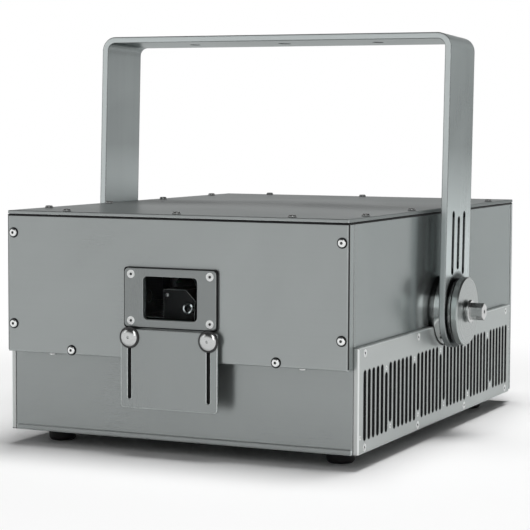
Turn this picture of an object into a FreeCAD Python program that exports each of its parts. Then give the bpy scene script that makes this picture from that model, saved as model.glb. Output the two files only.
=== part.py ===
"""Laser show projector with a tilting yoke: one STEP file for each sub-part.

Frame: +Z up, floor at z = 0, front of the housing towards -Y, +X to the viewer's right.
All sizes are in millimetres. Heights named *_RISE are measured from the underside of the base.
"""
import FreeCAD, Part
import math
import os

V = FreeCAD.Vector
AXIS_X = V(1, 0, 0)
AXIS_Y = V(0, 1, 0)
AXIS_Z = V(0, 0, 1)

# Housing
HOUSING_WIDTH = 340.0
HOUSING_DEPTH = 475.0
HOUSING_HEIGHT = 206.0
FOOT_HEIGHT = 14.0
FOOT_RADIUS = 12.8
FOOT_EDGE_RADIUS = 4.0
FOOT_RECESS_RADIUS = 5.0
FOOT_SIDE_INSET = 27.0
FOOT_FRONT_INSET = 39.0
FOOT_REAR_INSET = 60.0
SHEET = 2.5
BEND_RADIUS = 5.0
BASE_EDGE_RADIUS = 1.2
BASE_LIP_HEIGHT = 4.6
BASE_LIP_DEPTH = 0.9
BASE_CORNER_RADIUS = 0.8
DECK_RISE = 75.0
BENCH_THICKNESS = 10.0
COVER_SHEET = 3.0
COVER_EDGE_RADIUS = 0.8
COVER_LIP_DEPTH = 10.0
COVER_LIP_GAP = 1.0
SEAL_THICKNESS = 0.6
SEAL_INSET = 0.8
REAR_SHEET = 3.0
SHELL_FLANGE = 18.0

# Front tray
FRONT_DEPTH = 13.0
FRONT_SHEET = 4.0
FRONT_WALL = 1.5
FRONT_EDGE_RADIUS = 0.8

# Window
WINDOW_RISE = 130.8
BEZEL_WIDTH = 91.3
BEZEL_HEIGHT = 53.0
BEZEL_THICKNESS = 3.0
BEZEL_CORNER = 4.0
OPENING_WIDTH = 54.3
OPENING_HEIGHT = 38.8
OPENING_CORNER = 4.0
BEZEL_SCREW_SPAN_X = 79.0
BEZEL_SCREW_SPAN_Z = 42.0
GLASS_THICKNESS = 2.2
GLASS_MARGIN = 4.0
GASKET_THICKNESS = 0.6
LEDGE_MARGIN = 1.0
GLASS_FIT = 0.3

# Shutter plate and its thumbscrews
SHUTTER_WIDTH = 96.4
SHUTTER_HEIGHT = 71.3
SHUTTER_THICKNESS = 2.0
SHUTTER_CORNER = 3.0
SHUTTER_GAP_TO_BEZEL_FACE = 0.6
SHUTTER_GAP_BELOW_BEZEL = 1.9
SHUTTER_TRAVEL = 54.0
THUMBSCREW_SPAN = 79.0
THUMBSCREW_BELOW_TOP = 7.6
THUMBSCREW_SHANK_RADIUS = 1.5
THUMBSCREW_HEAD_RADIUS = 7.4
THUMBSCREW_HEAD_LENGTH = 2.4
THUMBSCREW_COLLAR_RADIUS = 9.8
THUMBSCREW_COLLAR_LENGTH = 1.0
THUMBSCREW_DOME = 1.6
THUMBSCREW_PIP_RADIUS = 1.2
SLOT_CLEARANCE = 0.4
STANDOFF_RADIUS = 4.0
FACE_GAP = 0.3

# Yoke and its pivots
PIVOT_RISE = 107.5
YOKE_WIDTH = 71.0
YOKE_THICKNESS = 6.0
YOKE_TOP_RISE = 373.0
YOKE_BEND_RADIUS = 14.0
YOKE_SLOT_PITCH = 16.0
YOKE_SLOT_WIDTH = 6.5
YOKE_SLOT_START = 35.0
YOKE_SLOT_LENGTH = 61.0
YOKE_SLOT_MIDDLE_STEP = 5.0
YOKE_CENTRE_HOLE_RADIUS = 6.5
YOKE_SIDE_HOLE_RADIUS = 5.5
YOKE_SIDE_HOLE_SPAN = 200.0
YOKE_LEAN_DEGREES = 2.3
HUB_RADIUS = 33.0
BOSS_LENGTH = 5.2
SPACER_LENGTH = 6.6
FRICTION_RADIUS = 31.5
FRICTION_LENGTH = 4.0
DISC_LENGTH = 7.5
DISC_CHAMFER = 1.2
SPRING_WASHER_RADIUS = 9.0
SPRING_WASHER_LENGTH = 1.6
BOLT_RADIUS = 6.0
BOLT_CLEARANCE = 0.3
BOLT_FLANGE_RADIUS = 11.0
BOLT_FLANGE_LENGTH = 2.4
BOLT_HEX_FLATS = 14.5
BOLT_HEX_LENGTH = 12.5
BOLT_HEX_TURN = 30.0
BOLT_HOLE_RADIUS = 1.8
BOLT_HOLE_DEPTH = 6.0
PIVOT_BLOCK_LENGTH = 20.0
PIVOT_BLOCK_DEPTH = 60.0
PIVOT_BLOCK_HEIGHT = 52.0

# Vent panels
VENT_REAR_GAP = 21.0
VENT_HEIGHT = 94.0
VENT_SHEET = 2.0
VENT_EDGE_RADIUS = 1.6
VENT_SLOT_COUNT = 40
VENT_SLOT_MARGIN = 9.1
VENT_SLOT_WIDTH = 6.5
VENT_SLOT_LENGTH = 62.0
VENT_SLOT_RISE = 11.4
VENT_SHORT_EVERY = 7
VENT_SHORT_TOP_FIRST = 5
VENT_SHORT_BOTTOM_FIRST = -1
VENT_SHORT_STEP = 8.0
VENT_NOTCH_GAP = 1.0
VENT_SCREW_COUNT = 4
VENT_SCREW_END = 15.0
VENT_SCREW_EDGE = 5.6
FILTER_GAP = 0.1
FILTER_MARGIN = 3.0

# Fasteners
SCREW_HEAD_RADIUS = 3.8
SCREW_HEAD_HEIGHT = 2.2
SCREW_DOME = 1.5
SCREW_SHANK_RADIUS = 1.6
SCREW_GRIP = 8.0
HOUSING_SCREW_GRIP = 6.5
FLUSH_SCREW_LENGTH = 7.0
SOCKET_FLATS = 2.5
SOCKET_DEPTH = 1.3
FLUSH_SOCKET_SHARE = 0.7
SMALL_SCREW_HEAD_RADIUS = 2.2
SMALL_SCREW_SHANK_RADIUS = 1.1
SMALL_SCREW_LENGTH = 4.5
FRONT_SCREW_SIDE_INSET = 6.0
FRONT_SCREW_LOW_STEP = 26.0
FRONT_SCREW_TOP_INSET = 20.5
FRONT_EDGE_SCREW_SPAN = 205.0
FRONT_EDGE_SCREW_STEP = 4.0
UNDER_SCREW_SPAN = 251.0
UNDER_SCREW_SETBACK = 6.0
UNDER_SCREW_GRIP = 5.0
COVER_SCREW_SPAN = 113.0
COVER_SCREW_END_INSET = 10.0
COVER_SCREW_SIDE_INSET = 8.0
COVER_SCREW_SIDE_END = 60.5
COVER_SCREW_SIDE_COUNT = 4
REAR_SCREW_INSET = 8.0

# Fans and heat sink in the lower bay
FAN_SIZE = 60.0
FAN_THICKNESS = 20.0
FAN_RISE = 36.0
FAN_SPACING = 0.5 * HOUSING_DEPTH
FAN_BORE_RADIUS = 28.0
FAN_CORNER = 4.0
FAN_HUB_RADIUS = 12.0
FAN_HUB_LENGTH = 14.0
FAN_TIP_GAP = 1.0
FAN_BLADE_COUNT = 7
FAN_BLADE_THICKNESS = 1.4
FAN_BLADE_TILT = 35.0
FAN_BLADE_CHORD = 15.0
FAN_STRUT_WIDTH = 4.0
FAN_STRUT_THICKNESS = 2.5
FAN_PIN_RADIUS = 2.0
FAN_PIN_CLEARANCE = 0.05
HEAT_SINK_WIDTH = 0.53 * HOUSING_WIDTH
HEAT_SINK_LENGTH = 0.3 * HOUSING_DEPTH
HEAT_SINK_BASE = 8.0
HEAT_SINK_HEIGHT = 50.0
HEAT_SINK_FIN = 2.0
HEAT_SINK_FIN_COUNT = 20

# Electronics in the lower bay
SUPPLY_WIDTH = 0.44 * HOUSING_WIDTH
SUPPLY_LENGTH = 0.2 * HOUSING_DEPTH
SUPPLY_HEIGHT = 42.0
SUPPLY_CENTRE_X = -0.15 * HOUSING_WIDTH
SUPPLY_REAR_GAP = 37.0
BOARD_THICKNESS = 1.6
STANDOFF_HEIGHT = 8.0
BOARD_STANDOFF_RADIUS = 3.0
BOARD_STANDOFF_INSET = 6.0
CHIP_HEIGHT = 3.0
CHIP_WIDTH_SHARE = 0.125
CHIP_LENGTH_SHARE = 0.25
TERMINAL_HEIGHT = 6.0
TERMINAL_WIDTH_SHARE = 0.5
TERMINAL_LENGTH_SHARE = 0.125
DRIVER_BOARD_WIDTH = 0.47 * HOUSING_WIDTH
DRIVER_BOARD_LENGTH = 0.12 * HOUSING_DEPTH
DRIVER_BOARD_FRONT_GAP = 17.0
CONTROL_BOARD_WIDTH = 0.23 * HOUSING_WIDTH
CONTROL_BOARD_LENGTH = 0.19 * HOUSING_DEPTH
CONTROL_BOARD_X = 0.25 * HOUSING_WIDTH
CONTROL_BOARD_REAR_GAP = 39.5

# Optics on the bench
LASER_COUNT = 3
LASER_WIDTH = 0.165 * HOUSING_WIDTH
LASER_LENGTH = 0.25 * HOUSING_DEPTH
LASER_HEIGHT = 46.0
LASER_PITCH = 0.21 * HOUSING_WIDTH
LASER_CENTRE_X = -0.175 * HOUSING_WIDTH
LASER_REAR_GAP = 45.0
LASER_PORT_RADIUS = 5.0
LASER_PORT_LENGTH = 6.0
BEAM_RISE_OVER_BENCH = 30.0
MIRROR_GAP = 17.0
MIRROR_TURN = 45.0
MIRROR_DIAMETER = 22.0
MIRROR_THICKNESS = 3.0
MIRROR_MOUNT_SIZE = 26.0
MIRROR_MOUNT_THICKNESS = 8.0
MIRROR_POST_RADIUS = 6.0
SCANNER_SETBACK = 22.0
SCANNER_LEFT_X = -19.0
SCANNER_WIDTH = 31.5
SCANNER_DEPTH = 42.0
SCANNER_HEIGHT = 52.0
SCANNER_ARM_LENGTH = 28.0
SCANNER_ARM_HEIGHT = 26.0
SCANNER_CHAMFER = 9.0
SCANNER_MOTOR_RADIUS = 6.5
SCANNER_MOTOR_LENGTH = 26.0
SCANNER_SHAFT_RADIUS = 1.25
SCANNER_SHAFT_LENGTH = 6.0
SCANNER_MIRROR_WIDTH = 9.0
SCANNER_MIRROR_LENGTH = 11.0
SCANNER_MIRROR_THICKNESS = 1.2
SCANNER_MIRROR_TURN = 45.0
SCANNER_AXIS_X_OFFSET = 11.0
SCANNER_Y_AXIS_RISE = 124.0
SCANNER_Y_AXIS_DEPTH = 14.0
SCANNER_X_AXIS_DEPTH = 28.0
CLAMP_SCREW_RADIUS = 5.5
CLAMP_SCREW_LENGTH = 4.0
CLAMP_SOCKET_DEPTH = 2.4
CLAMP_SCREW_X = 7.0
CLAMP_SCREW_RISE = 120.6
SCAN_BOARD_WIDTH = 0.18 * HOUSING_WIDTH
SCAN_BOARD_LENGTH = 0.19 * HOUSING_DEPTH
SCAN_BOARD_X = 0.34 * HOUSING_WIDTH
SCAN_BOARD_Y = -0.3 * HOUSING_DEPTH

# Rear connectors and controls
CONNECTOR_FLANGE = 2.5
CONNECTOR_FIT = 0.3
INLET_SIDE_INSET = 50.0
INLET_RISE = 38.0
INLET_WIDTH = 48.0
INLET_HEIGHT = 30.0
INLET_DEPTH = 18.0
INLET_MOUTH_WIDTH = 25.0
INLET_MOUTH_HEIGHT = 17.0
INLET_MOUTH_DEPTH = 15.0
INLET_WALL = 3.0
INLET_PIN_WIDTH = 2.0
INLET_PIN_HEIGHT = 5.0
INLET_PIN_LENGTH = 11.0
INLET_PIN_PITCH = 7.0
SWITCH_WIDTH = 22.0
SWITCH_DEPTH = 16.0
ROCKER_WIDTH = 12.0
ROCKER_HEIGHT = 20.0
ROCKER_PROUD = 2.5
ROCKER_GAP = 0.6
ROCKER_SWING = 10.0
ROCKER_PIN_RADIUS = 1.5
ROCKER_PIN_CLEARANCE = 0.08
DATA_SIDE_INSET = 70.0
DATA_RISE = 150.0
DATA_PITCH = 34.0
DATA_COUNT = 3
DATA_FLANGE_WIDTH = 26.0
DATA_FLANGE_HEIGHT = 31.0
DATA_BODY_RADIUS = 12.0
DATA_MOUTH_RADIUS = 9.5
DATA_DEPTH = 20.0
DATA_MOUTH_DEPTH = 14.0
DATA_PIN_RADIUS = 1.2
DATA_PIN_CIRCLE = 4.0
DATA_PIN_LENGTH = 10.0
DATA_PIN_TURNS = (90, 210, 330)
SIGNAL_SIDE_INSET = 95.0
SIGNAL_RISE = 38.0
SIGNAL_PITCH = 62.0
SIGNAL_FLANGE_WIDTH = 53.0
SIGNAL_FLANGE_HEIGHT = 13.0
SIGNAL_SHELL_WIDTH = 39.0
SIGNAL_SHELL_HEIGHT = 8.5
SIGNAL_SHELL_LENGTH = 5.5
SIGNAL_BODY_DEPTH = 10.0
SIGNAL_POST_RADIUS = 2.4
SIGNAL_POST_LENGTH = 5.0
SIGNAL_POST_SPAN = 47.0
KEY_SIDE_INSET = 60.0
KEY_RISE = 107.5
KEY_BARREL_RADIUS = 9.5
KEY_BARREL_DEPTH = 20.0
KEY_COLLAR_RADIUS = 12.0
KEY_COLLAR_LENGTH = 2.5
KEY_BLADE_WIDTH = 6.0
KEY_BLADE_THICKNESS = 2.0
KEY_BLADE_DEPTH = 12.0
KEY_BOW_RADIUS = 4.75
KEY_BOW_HOLE_RADIUS = 2.0
KEY_NECK = 1.0
KEY_FIT = 0.3

# Planes worked out from the driving sizes
X_SIDE = HOUSING_WIDTH / 2
X_INNER = X_SIDE - SHEET
X_VENT = X_SIDE + BOSS_LENGTH
X_YOKE_IN = X_VENT + SPACER_LENGTH
X_YOKE_OUT = X_YOKE_IN + YOKE_THICKNESS
X_DISC_IN = X_YOKE_OUT + FRICTION_LENGTH
X_DISC_OUT = X_DISC_IN + DISC_LENGTH
X_FLANGE_IN = X_DISC_OUT + SPRING_WASHER_LENGTH
X_HEX_IN = X_FLANGE_IN + BOLT_FLANGE_LENGTH
X_HEX_OUT = X_HEX_IN + BOLT_HEX_LENGTH
X_BLOCK_IN = X_INNER - PIVOT_BLOCK_LENGTH
X_FLANGE = X_SIDE - SHELL_FLANGE
INLET_X = -X_SIDE + INLET_SIDE_INSET
X_SWITCH = INLET_X + (INLET_WIDTH + SWITCH_WIDTH) / 2
DATA_FIRST_X = X_SIDE - DATA_SIDE_INSET
SIGNAL_X = X_SIDE - SIGNAL_SIDE_INSET
KEY_X = -X_SIDE + KEY_SIDE_INSET
Y_FRONT = -HOUSING_DEPTH / 2
Y_BODY = Y_FRONT + FRONT_DEPTH
Y_BACK = HOUSING_DEPTH / 2
Y_REAR_IN = Y_BACK - REAR_SHEET
Y_BEZEL = Y_FRONT - BEZEL_THICKNESS
Y_SHUTTER_BACK = Y_BEZEL - SHUTTER_GAP_TO_BEZEL_FACE
Y_SHUTTER = Y_SHUTTER_BACK - SHUTTER_THICKNESS
VENT_LENGTH = HOUSING_DEPTH - FRONT_DEPTH - VENT_REAR_GAP
VENT_SLOT_PITCH = (VENT_LENGTH - 2 * VENT_SLOT_MARGIN) / VENT_SLOT_COUNT
VENT_SCREW_PITCH = (VENT_LENGTH - 2 * VENT_SCREW_END) / (VENT_SCREW_COUNT - 1)
COVER_SCREW_SIDE_PITCH = (HOUSING_DEPTH - 2 * COVER_SCREW_SIDE_END) / (COVER_SCREW_SIDE_COUNT - 1)
Y_VENT_FRONT = Y_BODY
Y_VENT_MIDDLE = Y_VENT_FRONT + VENT_LENGTH / 2
DRIVER_BOARD_Y = Y_BODY + SHEET + DRIVER_BOARD_FRONT_GAP + DRIVER_BOARD_LENGTH / 2
SUPPLY_CENTRE_Y = Y_REAR_IN - SUPPLY_REAR_GAP - SUPPLY_LENGTH / 2
CONTROL_BOARD_Y = Y_REAR_IN - CONTROL_BOARD_REAR_GAP - CONTROL_BOARD_LENGTH / 2
LASER_CENTRE_Y = Y_REAR_IN - LASER_REAR_GAP - LASER_LENGTH / 2
MIRROR_ROW_Y = LASER_CENTRE_Y - LASER_LENGTH / 2 - LASER_PORT_LENGTH - MIRROR_GAP
Z_BASE = FOOT_HEIGHT
Z_FLOOR = Z_BASE + SHEET
FOOT_RECESS_DEPTH = Z_FLOOR - HOUSING_SCREW_GRIP
Z_DECK = Z_BASE + DECK_RISE
Z_BENCH = Z_DECK + BENCH_THICKNESS
Z_TOP = Z_BASE + HOUSING_HEIGHT
Z_COVER = Z_TOP - COVER_SHEET
Z_SHELL = Z_COVER - SEAL_THICKNESS
Z_PIVOT = Z_BASE + PIVOT_RISE
Z_YOKE = Z_BASE + YOKE_TOP_RISE
Z_WINDOW = Z_BASE + WINDOW_RISE
Z_SHUTTER_TOP = Z_WINDOW - BEZEL_HEIGHT / 2 - SHUTTER_GAP_BELOW_BEZEL
Z_THUMBSCREW = Z_SHUTTER_TOP - THUMBSCREW_BELOW_TOP
Z_BEAM = Z_BENCH + BEAM_RISE_OVER_BENCH
SLOT_WIDTH = 2 * (THUMBSCREW_SHANK_RADIUS + SLOT_CLEARANCE)
SIDES = (-1, 1)


# Shared shapes
def block(x0, x1, y0, y1, z0, z1):
    """Box between two corners."""
    return Part.makeBox(x1 - x0, y1 - y0, z1 - z0, V(x0, y0, z0))


def centred(x, y, z0, width, length, height):
    """Box centred on x and y that stands on z0."""
    return block(x - width / 2, x + width / 2, y - length / 2, y + length / 2, z0, z0 + height)


def rod(start, axis, radius, length):
    """Cylinder from a point along an axis."""
    return Part.makeCylinder(radius, length, start, axis)


def edges_along(shape, axis):
    """Straight edges of a shape that run along an axis."""
    found = []
    for edge in shape.Edges:
        if isinstance(edge.Curve, Part.Line) and abs(abs(edge.Curve.Direction.dot(axis)) - 1) < 1e-6:
            found.append(edge)
    return found


def rounded(shape, axis, radius):
    """Shape with its edges along one axis rounded."""
    return shape.makeFillet(radius, edges_along(shape, axis))


def plate_xz(x, z, width, height, corner, y0, y1):
    """Upright plate facing -Y with rounded corners, centred on x and z."""
    plate = block(x - width / 2, x + width / 2, y0, y1, z - height / 2, z + height / 2)
    return rounded(plate, AXIS_Y, corner)


def stadium_y(x, z0, z1, width, y0, y1):
    """Upright round-ended slot cutter along Y."""
    r = width / 2
    body = block(x - r, x + r, y0, y1, z0 + r, z1 - r)
    ends = [rod(V(x, y0, z), AXIS_Y, r, y1 - y0) for z in (z0 + r, z1 - r)]
    return body.fuse(ends)


def stadium_x(y, z0, z1, width, x0, x1):
    """Upright round-ended slot cutter along X."""
    r = width / 2
    body = block(x0, x1, y - r, y + r, z0 + r, z1 - r)
    ends = [rod(V(x0, y, z), AXIS_X, r, x1 - x0) for z in (z0 + r, z1 - r)]
    return body.fuse(ends)


def hexagon(flats, length):
    """Hexagonal prism on the origin along +Z."""
    corner = flats / math.sqrt(3)
    turns = [n * math.pi / 3 for n in range(7)]
    points = [V(corner * math.cos(a), corner * math.sin(a), 0) for a in turns]
    return Part.Face(Part.makePolygon(points)).extrude(V(0, 0, length))


def placed(shape, point, axis):
    """Shape built along +Z on the origin, moved to a point with its +Z along an axis."""
    moved = shape.copy()
    moved.Placement = FreeCAD.Placement(point, FreeCAD.Rotation(AXIS_Z, axis))
    return moved


def mirrored(shape):
    """Copy on the other side of the middle plane."""
    return shape.mirror(V(0, 0, 0), AXIS_X)


def both_sides(shape):
    """The right-hand shape and its left-hand copy."""
    return Part.makeCompound([mirrored(shape), shape])


# Fasteners, built with the head's seat at z = 0 and the head towards +Z
def button_screw(grip):
    """Domed screw with a hexagon socket."""
    head = rod(V(0, 0, 0), AXIS_Z, SCREW_HEAD_RADIUS, SCREW_HEAD_HEIGHT)
    rim = [edge for edge in head.Edges if abs(edge.BoundBox.ZMin - SCREW_HEAD_HEIGHT) < 1e-6]
    head = head.makeFillet(SCREW_DOME, rim[:1])
    socket = hexagon(SOCKET_FLATS, SOCKET_DEPTH)
    socket.translate(V(0, 0, SCREW_HEAD_HEIGHT - SOCKET_DEPTH))
    return head.cut(socket).fuse(rod(V(0, 0, -grip), AXIS_Z, SCREW_SHANK_RADIUS, grip))


def flush_screw(head_radius, shank_radius, length, socket_flats):
    """Countersunk screw whose flat head ends at z = 0."""
    depth = head_radius - shank_radius
    head = Part.makeCone(shank_radius, head_radius, depth, V(0, 0, -depth), AXIS_Z)
    socket_depth = depth * FLUSH_SOCKET_SHARE
    socket = hexagon(socket_flats, socket_depth)
    socket.translate(V(0, 0, -socket_depth))
    return head.fuse(rod(V(0, 0, -length), AXIS_Z, shank_radius, length)).cut(socket)


def flush_hole(head_radius, shank_radius, length):
    """Cutter for a countersunk screw."""
    depth = head_radius - shank_radius
    cone = Part.makeCone(shank_radius, head_radius, depth, V(0, 0, -depth), AXIS_Z)
    return cone.fuse(rod(V(0, 0, -length), AXIS_Z, shank_radius, length))


# Places of the fasteners
def front_screw_points():
    """Seats on the front face: four corners and two low ones."""
    x_corner = X_SIDE - FRONT_SCREW_SIDE_INSET
    corners = [(x_corner * s, Z_DECK + FRONT_SCREW_LOW_STEP) for s in SIDES]
    corners += [(x_corner * s, Z_TOP - FRONT_SCREW_TOP_INSET) for s in SIDES]
    low = [(FRONT_EDGE_SCREW_SPAN / 2 * s, Z_DECK + FRONT_EDGE_SCREW_STEP) for s in SIDES]
    return [V(x, Y_FRONT, z) for x, z in corners + low]


def under_screw_points():
    """Seats under the front tray's lower edge."""
    return [V(UNDER_SCREW_SPAN / 2 * s, Y_FRONT + UNDER_SCREW_SETBACK, Z_DECK) for s in SIDES]


def bezel_screw_points():
    """Seats on the bezel face."""
    half_x = BEZEL_SCREW_SPAN_X / 2
    half_z = BEZEL_SCREW_SPAN_Z / 2
    return [V(half_x * sx, Y_BEZEL, Z_WINDOW + half_z * sz) for sx in SIDES for sz in SIDES]


def cover_screw_points():
    """Seats around the top cover."""
    points = []
    for y in (Y_FRONT + COVER_SCREW_END_INSET, Y_BACK - COVER_SCREW_END_INSET):
        points += [V(COVER_SCREW_SPAN * step, y, Z_TOP) for step in (-1, 0, 1)]
    first = -(COVER_SCREW_SIDE_COUNT - 1) / 2 * COVER_SCREW_SIDE_PITCH
    for n in range(COVER_SCREW_SIDE_COUNT):
        y = first + n * COVER_SCREW_SIDE_PITCH
        points += [V((X_SIDE - COVER_SCREW_SIDE_INSET) * s, y, Z_TOP) for s in SIDES]
    return points


def cover_screw_holes():
    """Cutters for the cover's screws in whatever lies under the cover."""
    down = V(0, 0, SCREW_GRIP)
    return [rod(p - down, AXIS_Z, SCREW_SHANK_RADIUS, SCREW_GRIP) for p in cover_screw_points()]


def rear_screw_points():
    """Seats at the corners and sides of the rear panel."""
    x = X_SIDE - REAR_SCREW_INSET
    heights = (Z_BENCH + REAR_SCREW_INSET, Z_SHELL - REAR_SCREW_INSET)
    return [V(x * s, Y_BACK, z) for s in SIDES for z in heights]


def vent_screw_points():
    """Seats on the right vent panel."""
    first = Y_VENT_MIDDLE - (VENT_SCREW_COUNT - 1) / 2 * VENT_SCREW_PITCH
    points = []
    for n in range(VENT_SCREW_COUNT):
        y = first + n * VENT_SCREW_PITCH
        for z in (Z_BASE + VENT_SCREW_EDGE, Z_BASE + VENT_HEIGHT - VENT_SCREW_EDGE):
            points.append(V(X_VENT, y, z))
    return points


def vent_slot_y(index):
    """Place of one vent slot along the panel."""
    return Y_VENT_MIDDLE + (index - (VENT_SLOT_COUNT - 1) / 2) * VENT_SLOT_PITCH


def vent_small_screw_points():
    """Small screws above and below the shortened slots of the right vent panel."""
    low = Z_BASE + VENT_SLOT_RISE
    high = low + VENT_SLOT_LENGTH
    inset = VENT_SHORT_STEP / 2
    top = range(VENT_SHORT_TOP_FIRST, VENT_SLOT_COUNT + 1, VENT_SHORT_EVERY)
    bottom = range(VENT_SHORT_BOTTOM_FIRST, VENT_SLOT_COUNT, VENT_SHORT_EVERY)
    points = [V(X_VENT, vent_slot_y(n), high - inset) for n in top]
    return points + [V(X_VENT, vent_slot_y(n), low + inset) for n in bottom]


# Housing
def base_tray():
    """Folded tray: floor, front wall with a hemmed lip and two side walls, open to the rear."""
    tray = block(-X_SIDE, X_SIDE, Y_BODY, Y_REAR_IN, Z_BASE, Z_DECK)
    lower = [e for e in edges_along(tray, AXIS_Y) if abs(e.BoundBox.ZMax - Z_BASE) < 1e-6]
    tray = tray.makeFillet(BASE_EDGE_RADIUS, lower)
    corners = [e for e in edges_along(tray, AXIS_Z) if abs(e.BoundBox.YMin - Y_BODY) < 1e-6]
    tray = tray.makeFillet(BASE_CORNER_RADIUS, corners)
    tray = tray.cut(block(-X_INNER, X_INNER, Y_BODY + SHEET, Y_REAR_IN + SHEET, Z_FLOOR, Z_DECK + SHEET))
    cutters = []
    for s in SIDES:
        for fan in fan_places():
            centre = V(X_SIDE * s, fan, Z_BASE + FAN_RISE)
            cutters.append(rod(centre, V(-s, 0, 0), FAN_BORE_RADIUS, SHEET))
        half = HEAT_SINK_LENGTH / 2
        z0 = Z_BASE + VENT_SLOT_RISE
        window = block(X_INNER, X_SIDE, -half, half, z0, Z_DECK - HEAT_SINK_BASE)
        cutters.append(window if s > 0 else mirrored(window))
    for point in vent_screw_points()[0::2]:
        hole = rod(point - V(BOSS_LENGTH + SHEET, 0, 0), AXIS_X, SCREW_SHANK_RADIUS, SHEET)
        cutters += [hole, mirrored(hole)]
    for x, y in foot_places():
        cutters.append(rod(V(x, y, Z_BASE), AXIS_Z, SCREW_SHANK_RADIUS, SHEET))
    lip_half = X_SIDE - BASE_EDGE_RADIUS
    lip = block(-lip_half, lip_half, Y_BODY - BASE_LIP_DEPTH, Y_BODY, Z_BASE, Z_BASE + BASE_LIP_HEIGHT)
    return tray.fuse(lip).cut(cutters)


def optical_bench():
    """Thick plate that closes the lower bay and carries the optics."""
    bench = block(-X_SIDE, X_SIDE, Y_BODY, Y_REAR_IN, Z_DECK, Z_BENCH)
    corners = [e for e in edges_along(bench, AXIS_Z) if abs(e.BoundBox.YMin - Y_BODY) < 1e-6]
    bench = bench.makeFillet(BASE_CORNER_RADIUS, corners)
    holes = [rod(p + V(0, FRONT_DEPTH, 0), AXIS_Y, SCREW_SHANK_RADIUS, SCREW_GRIP)
             for p in front_screw_points()[4:]]
    return bench.cut(holes)


def side_shell_right():
    """Upper side wall with flanges bent inwards at its ends and along its top."""
    shell = block(X_FLANGE, X_SIDE, Y_BODY, Y_REAR_IN, Z_BENCH, Z_SHELL)
    bends = [e for e in edges_along(shell, AXIS_Z) if abs(e.BoundBox.XMin - X_SIDE) < 1e-6]
    shell = shell.makeFillet(BEND_RADIUS, bends)
    hollow = block(-X_SIDE, X_INNER, Y_BODY + SHEET, Y_REAR_IN - SHEET, Z_BENCH, Z_SHELL - SHEET)
    inner = [e for e in edges_along(hollow, AXIS_Z) if abs(e.BoundBox.XMin - X_INNER) < 1e-6]
    shell = shell.cut(hollow.makeFillet(BEND_RADIUS - SHEET, inner))
    holes = [rod(V(X_INNER, 0, Z_PIVOT), AXIS_X, BOLT_RADIUS + BOLT_CLEARANCE, SHEET)]
    for point in vent_screw_points()[1::2]:
        holes.append(rod(point - V(BOSS_LENGTH + SHEET, 0, 0), AXIS_X, SCREW_SHANK_RADIUS, SHEET))
    for point in front_screw_points()[:4]:
        holes.append(rod(point + V(0, FRONT_DEPTH, 0), AXIS_Y, SCREW_SHANK_RADIUS, SHEET + BEND_RADIUS))
    for point in rear_screw_points():
        holes.append(rod(point - V(0, REAR_SHEET, 0), -AXIS_Y, SCREW_SHANK_RADIUS, SHEET + BEND_RADIUS))
    return shell.cut(holes + cover_screw_holes())


def top_cover():
    """Flat cover with a lip inside the shells and holes for its screws."""
    cover = block(-X_SIDE, X_SIDE, Y_FRONT, Y_BACK, Z_COVER, Z_TOP)
    top = [e for e in cover.Edges if abs(e.BoundBox.ZMin - Z_TOP) < 1e-6]
    cover = cover.makeFillet(COVER_EDGE_RADIUS, top)
    x = X_FLANGE - COVER_LIP_GAP
    y0 = Y_BODY + SHEET + COVER_LIP_GAP
    y1 = Y_REAR_IN - SHELL_FLANGE - COVER_LIP_GAP
    lip = block(-x, x, y0, y1, Z_COVER - COVER_LIP_DEPTH, Z_COVER)
    inside = block(-x + SHEET, x - SHEET, y0 + SHEET, y1 - SHEET, Z_COVER - COVER_LIP_DEPTH, Z_COVER)
    return cover.fuse(lip.cut(inside)).cut(cover_screw_holes())


def top_seal():
    """Flat rubber ring between the cover and the edges that it rests on."""
    x = X_SIDE - SEAL_INSET
    outer = block(-x, x, Y_FRONT + SEAL_INSET, Y_BACK - SEAL_INSET, Z_SHELL, Z_COVER)
    inner = block(-X_FLANGE, X_FLANGE, Y_BODY + SHEET, Y_REAR_IN - SHELL_FLANGE, Z_SHELL, Z_COVER)
    return outer.cut([inner] + cover_screw_holes())


def front_panel():
    """Shallow tray over the upper front, stepped behind the bezel for the glass."""
    panel = block(-X_SIDE, X_SIDE, Y_FRONT, Y_BODY, Z_DECK, Z_SHELL)
    face = [e for e in panel.Edges if abs(e.BoundBox.YMax - Y_FRONT) < 1e-6]
    panel = panel.makeFillet(FRONT_EDGE_RADIUS, face)
    x = X_SIDE - FRONT_WALL
    hollow = block(-x, x, Y_FRONT + FRONT_SHEET, Y_BODY, Z_DECK + FRONT_WALL, Z_SHELL - FRONT_WALL)
    depth = GASKET_THICKNESS + GLASS_THICKNESS
    pocket = plate_xz(0, Z_WINDOW, OPENING_WIDTH + 2 * GLASS_MARGIN, OPENING_HEIGHT + 2 * GLASS_MARGIN,
                      OPENING_CORNER, Y_FRONT, Y_FRONT + depth)
    hole = plate_xz(0, Z_WINDOW, OPENING_WIDTH + 2 * LEDGE_MARGIN, OPENING_HEIGHT + 2 * LEDGE_MARGIN,
                    OPENING_CORNER, Y_FRONT, Y_FRONT + FRONT_SHEET)
    cutters = [hollow, pocket, hole]
    for point in front_screw_points():
        cutters.append(rod(point, AXIS_Y, SCREW_SHANK_RADIUS, FRONT_DEPTH))
    for point in under_screw_points():
        cutters.append(rod(point, AXIS_Z, SCREW_SHANK_RADIUS, FRONT_WALL))
    for point in bezel_screw_points():
        cutters.append(rod(point + V(0, BEZEL_THICKNESS, 0), AXIS_Y, SCREW_SHANK_RADIUS, FRONT_SHEET))
    for s in SIDES:
        thread = THUMBSCREW_SHANK_RADIUS + FACE_GAP
        cutters.append(rod(V(THUMBSCREW_SPAN / 2 * s, Y_FRONT, Z_THUMBSCREW), AXIS_Y, thread, FRONT_SHEET))
    return panel.cut(cutters + cover_screw_holes())


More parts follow.
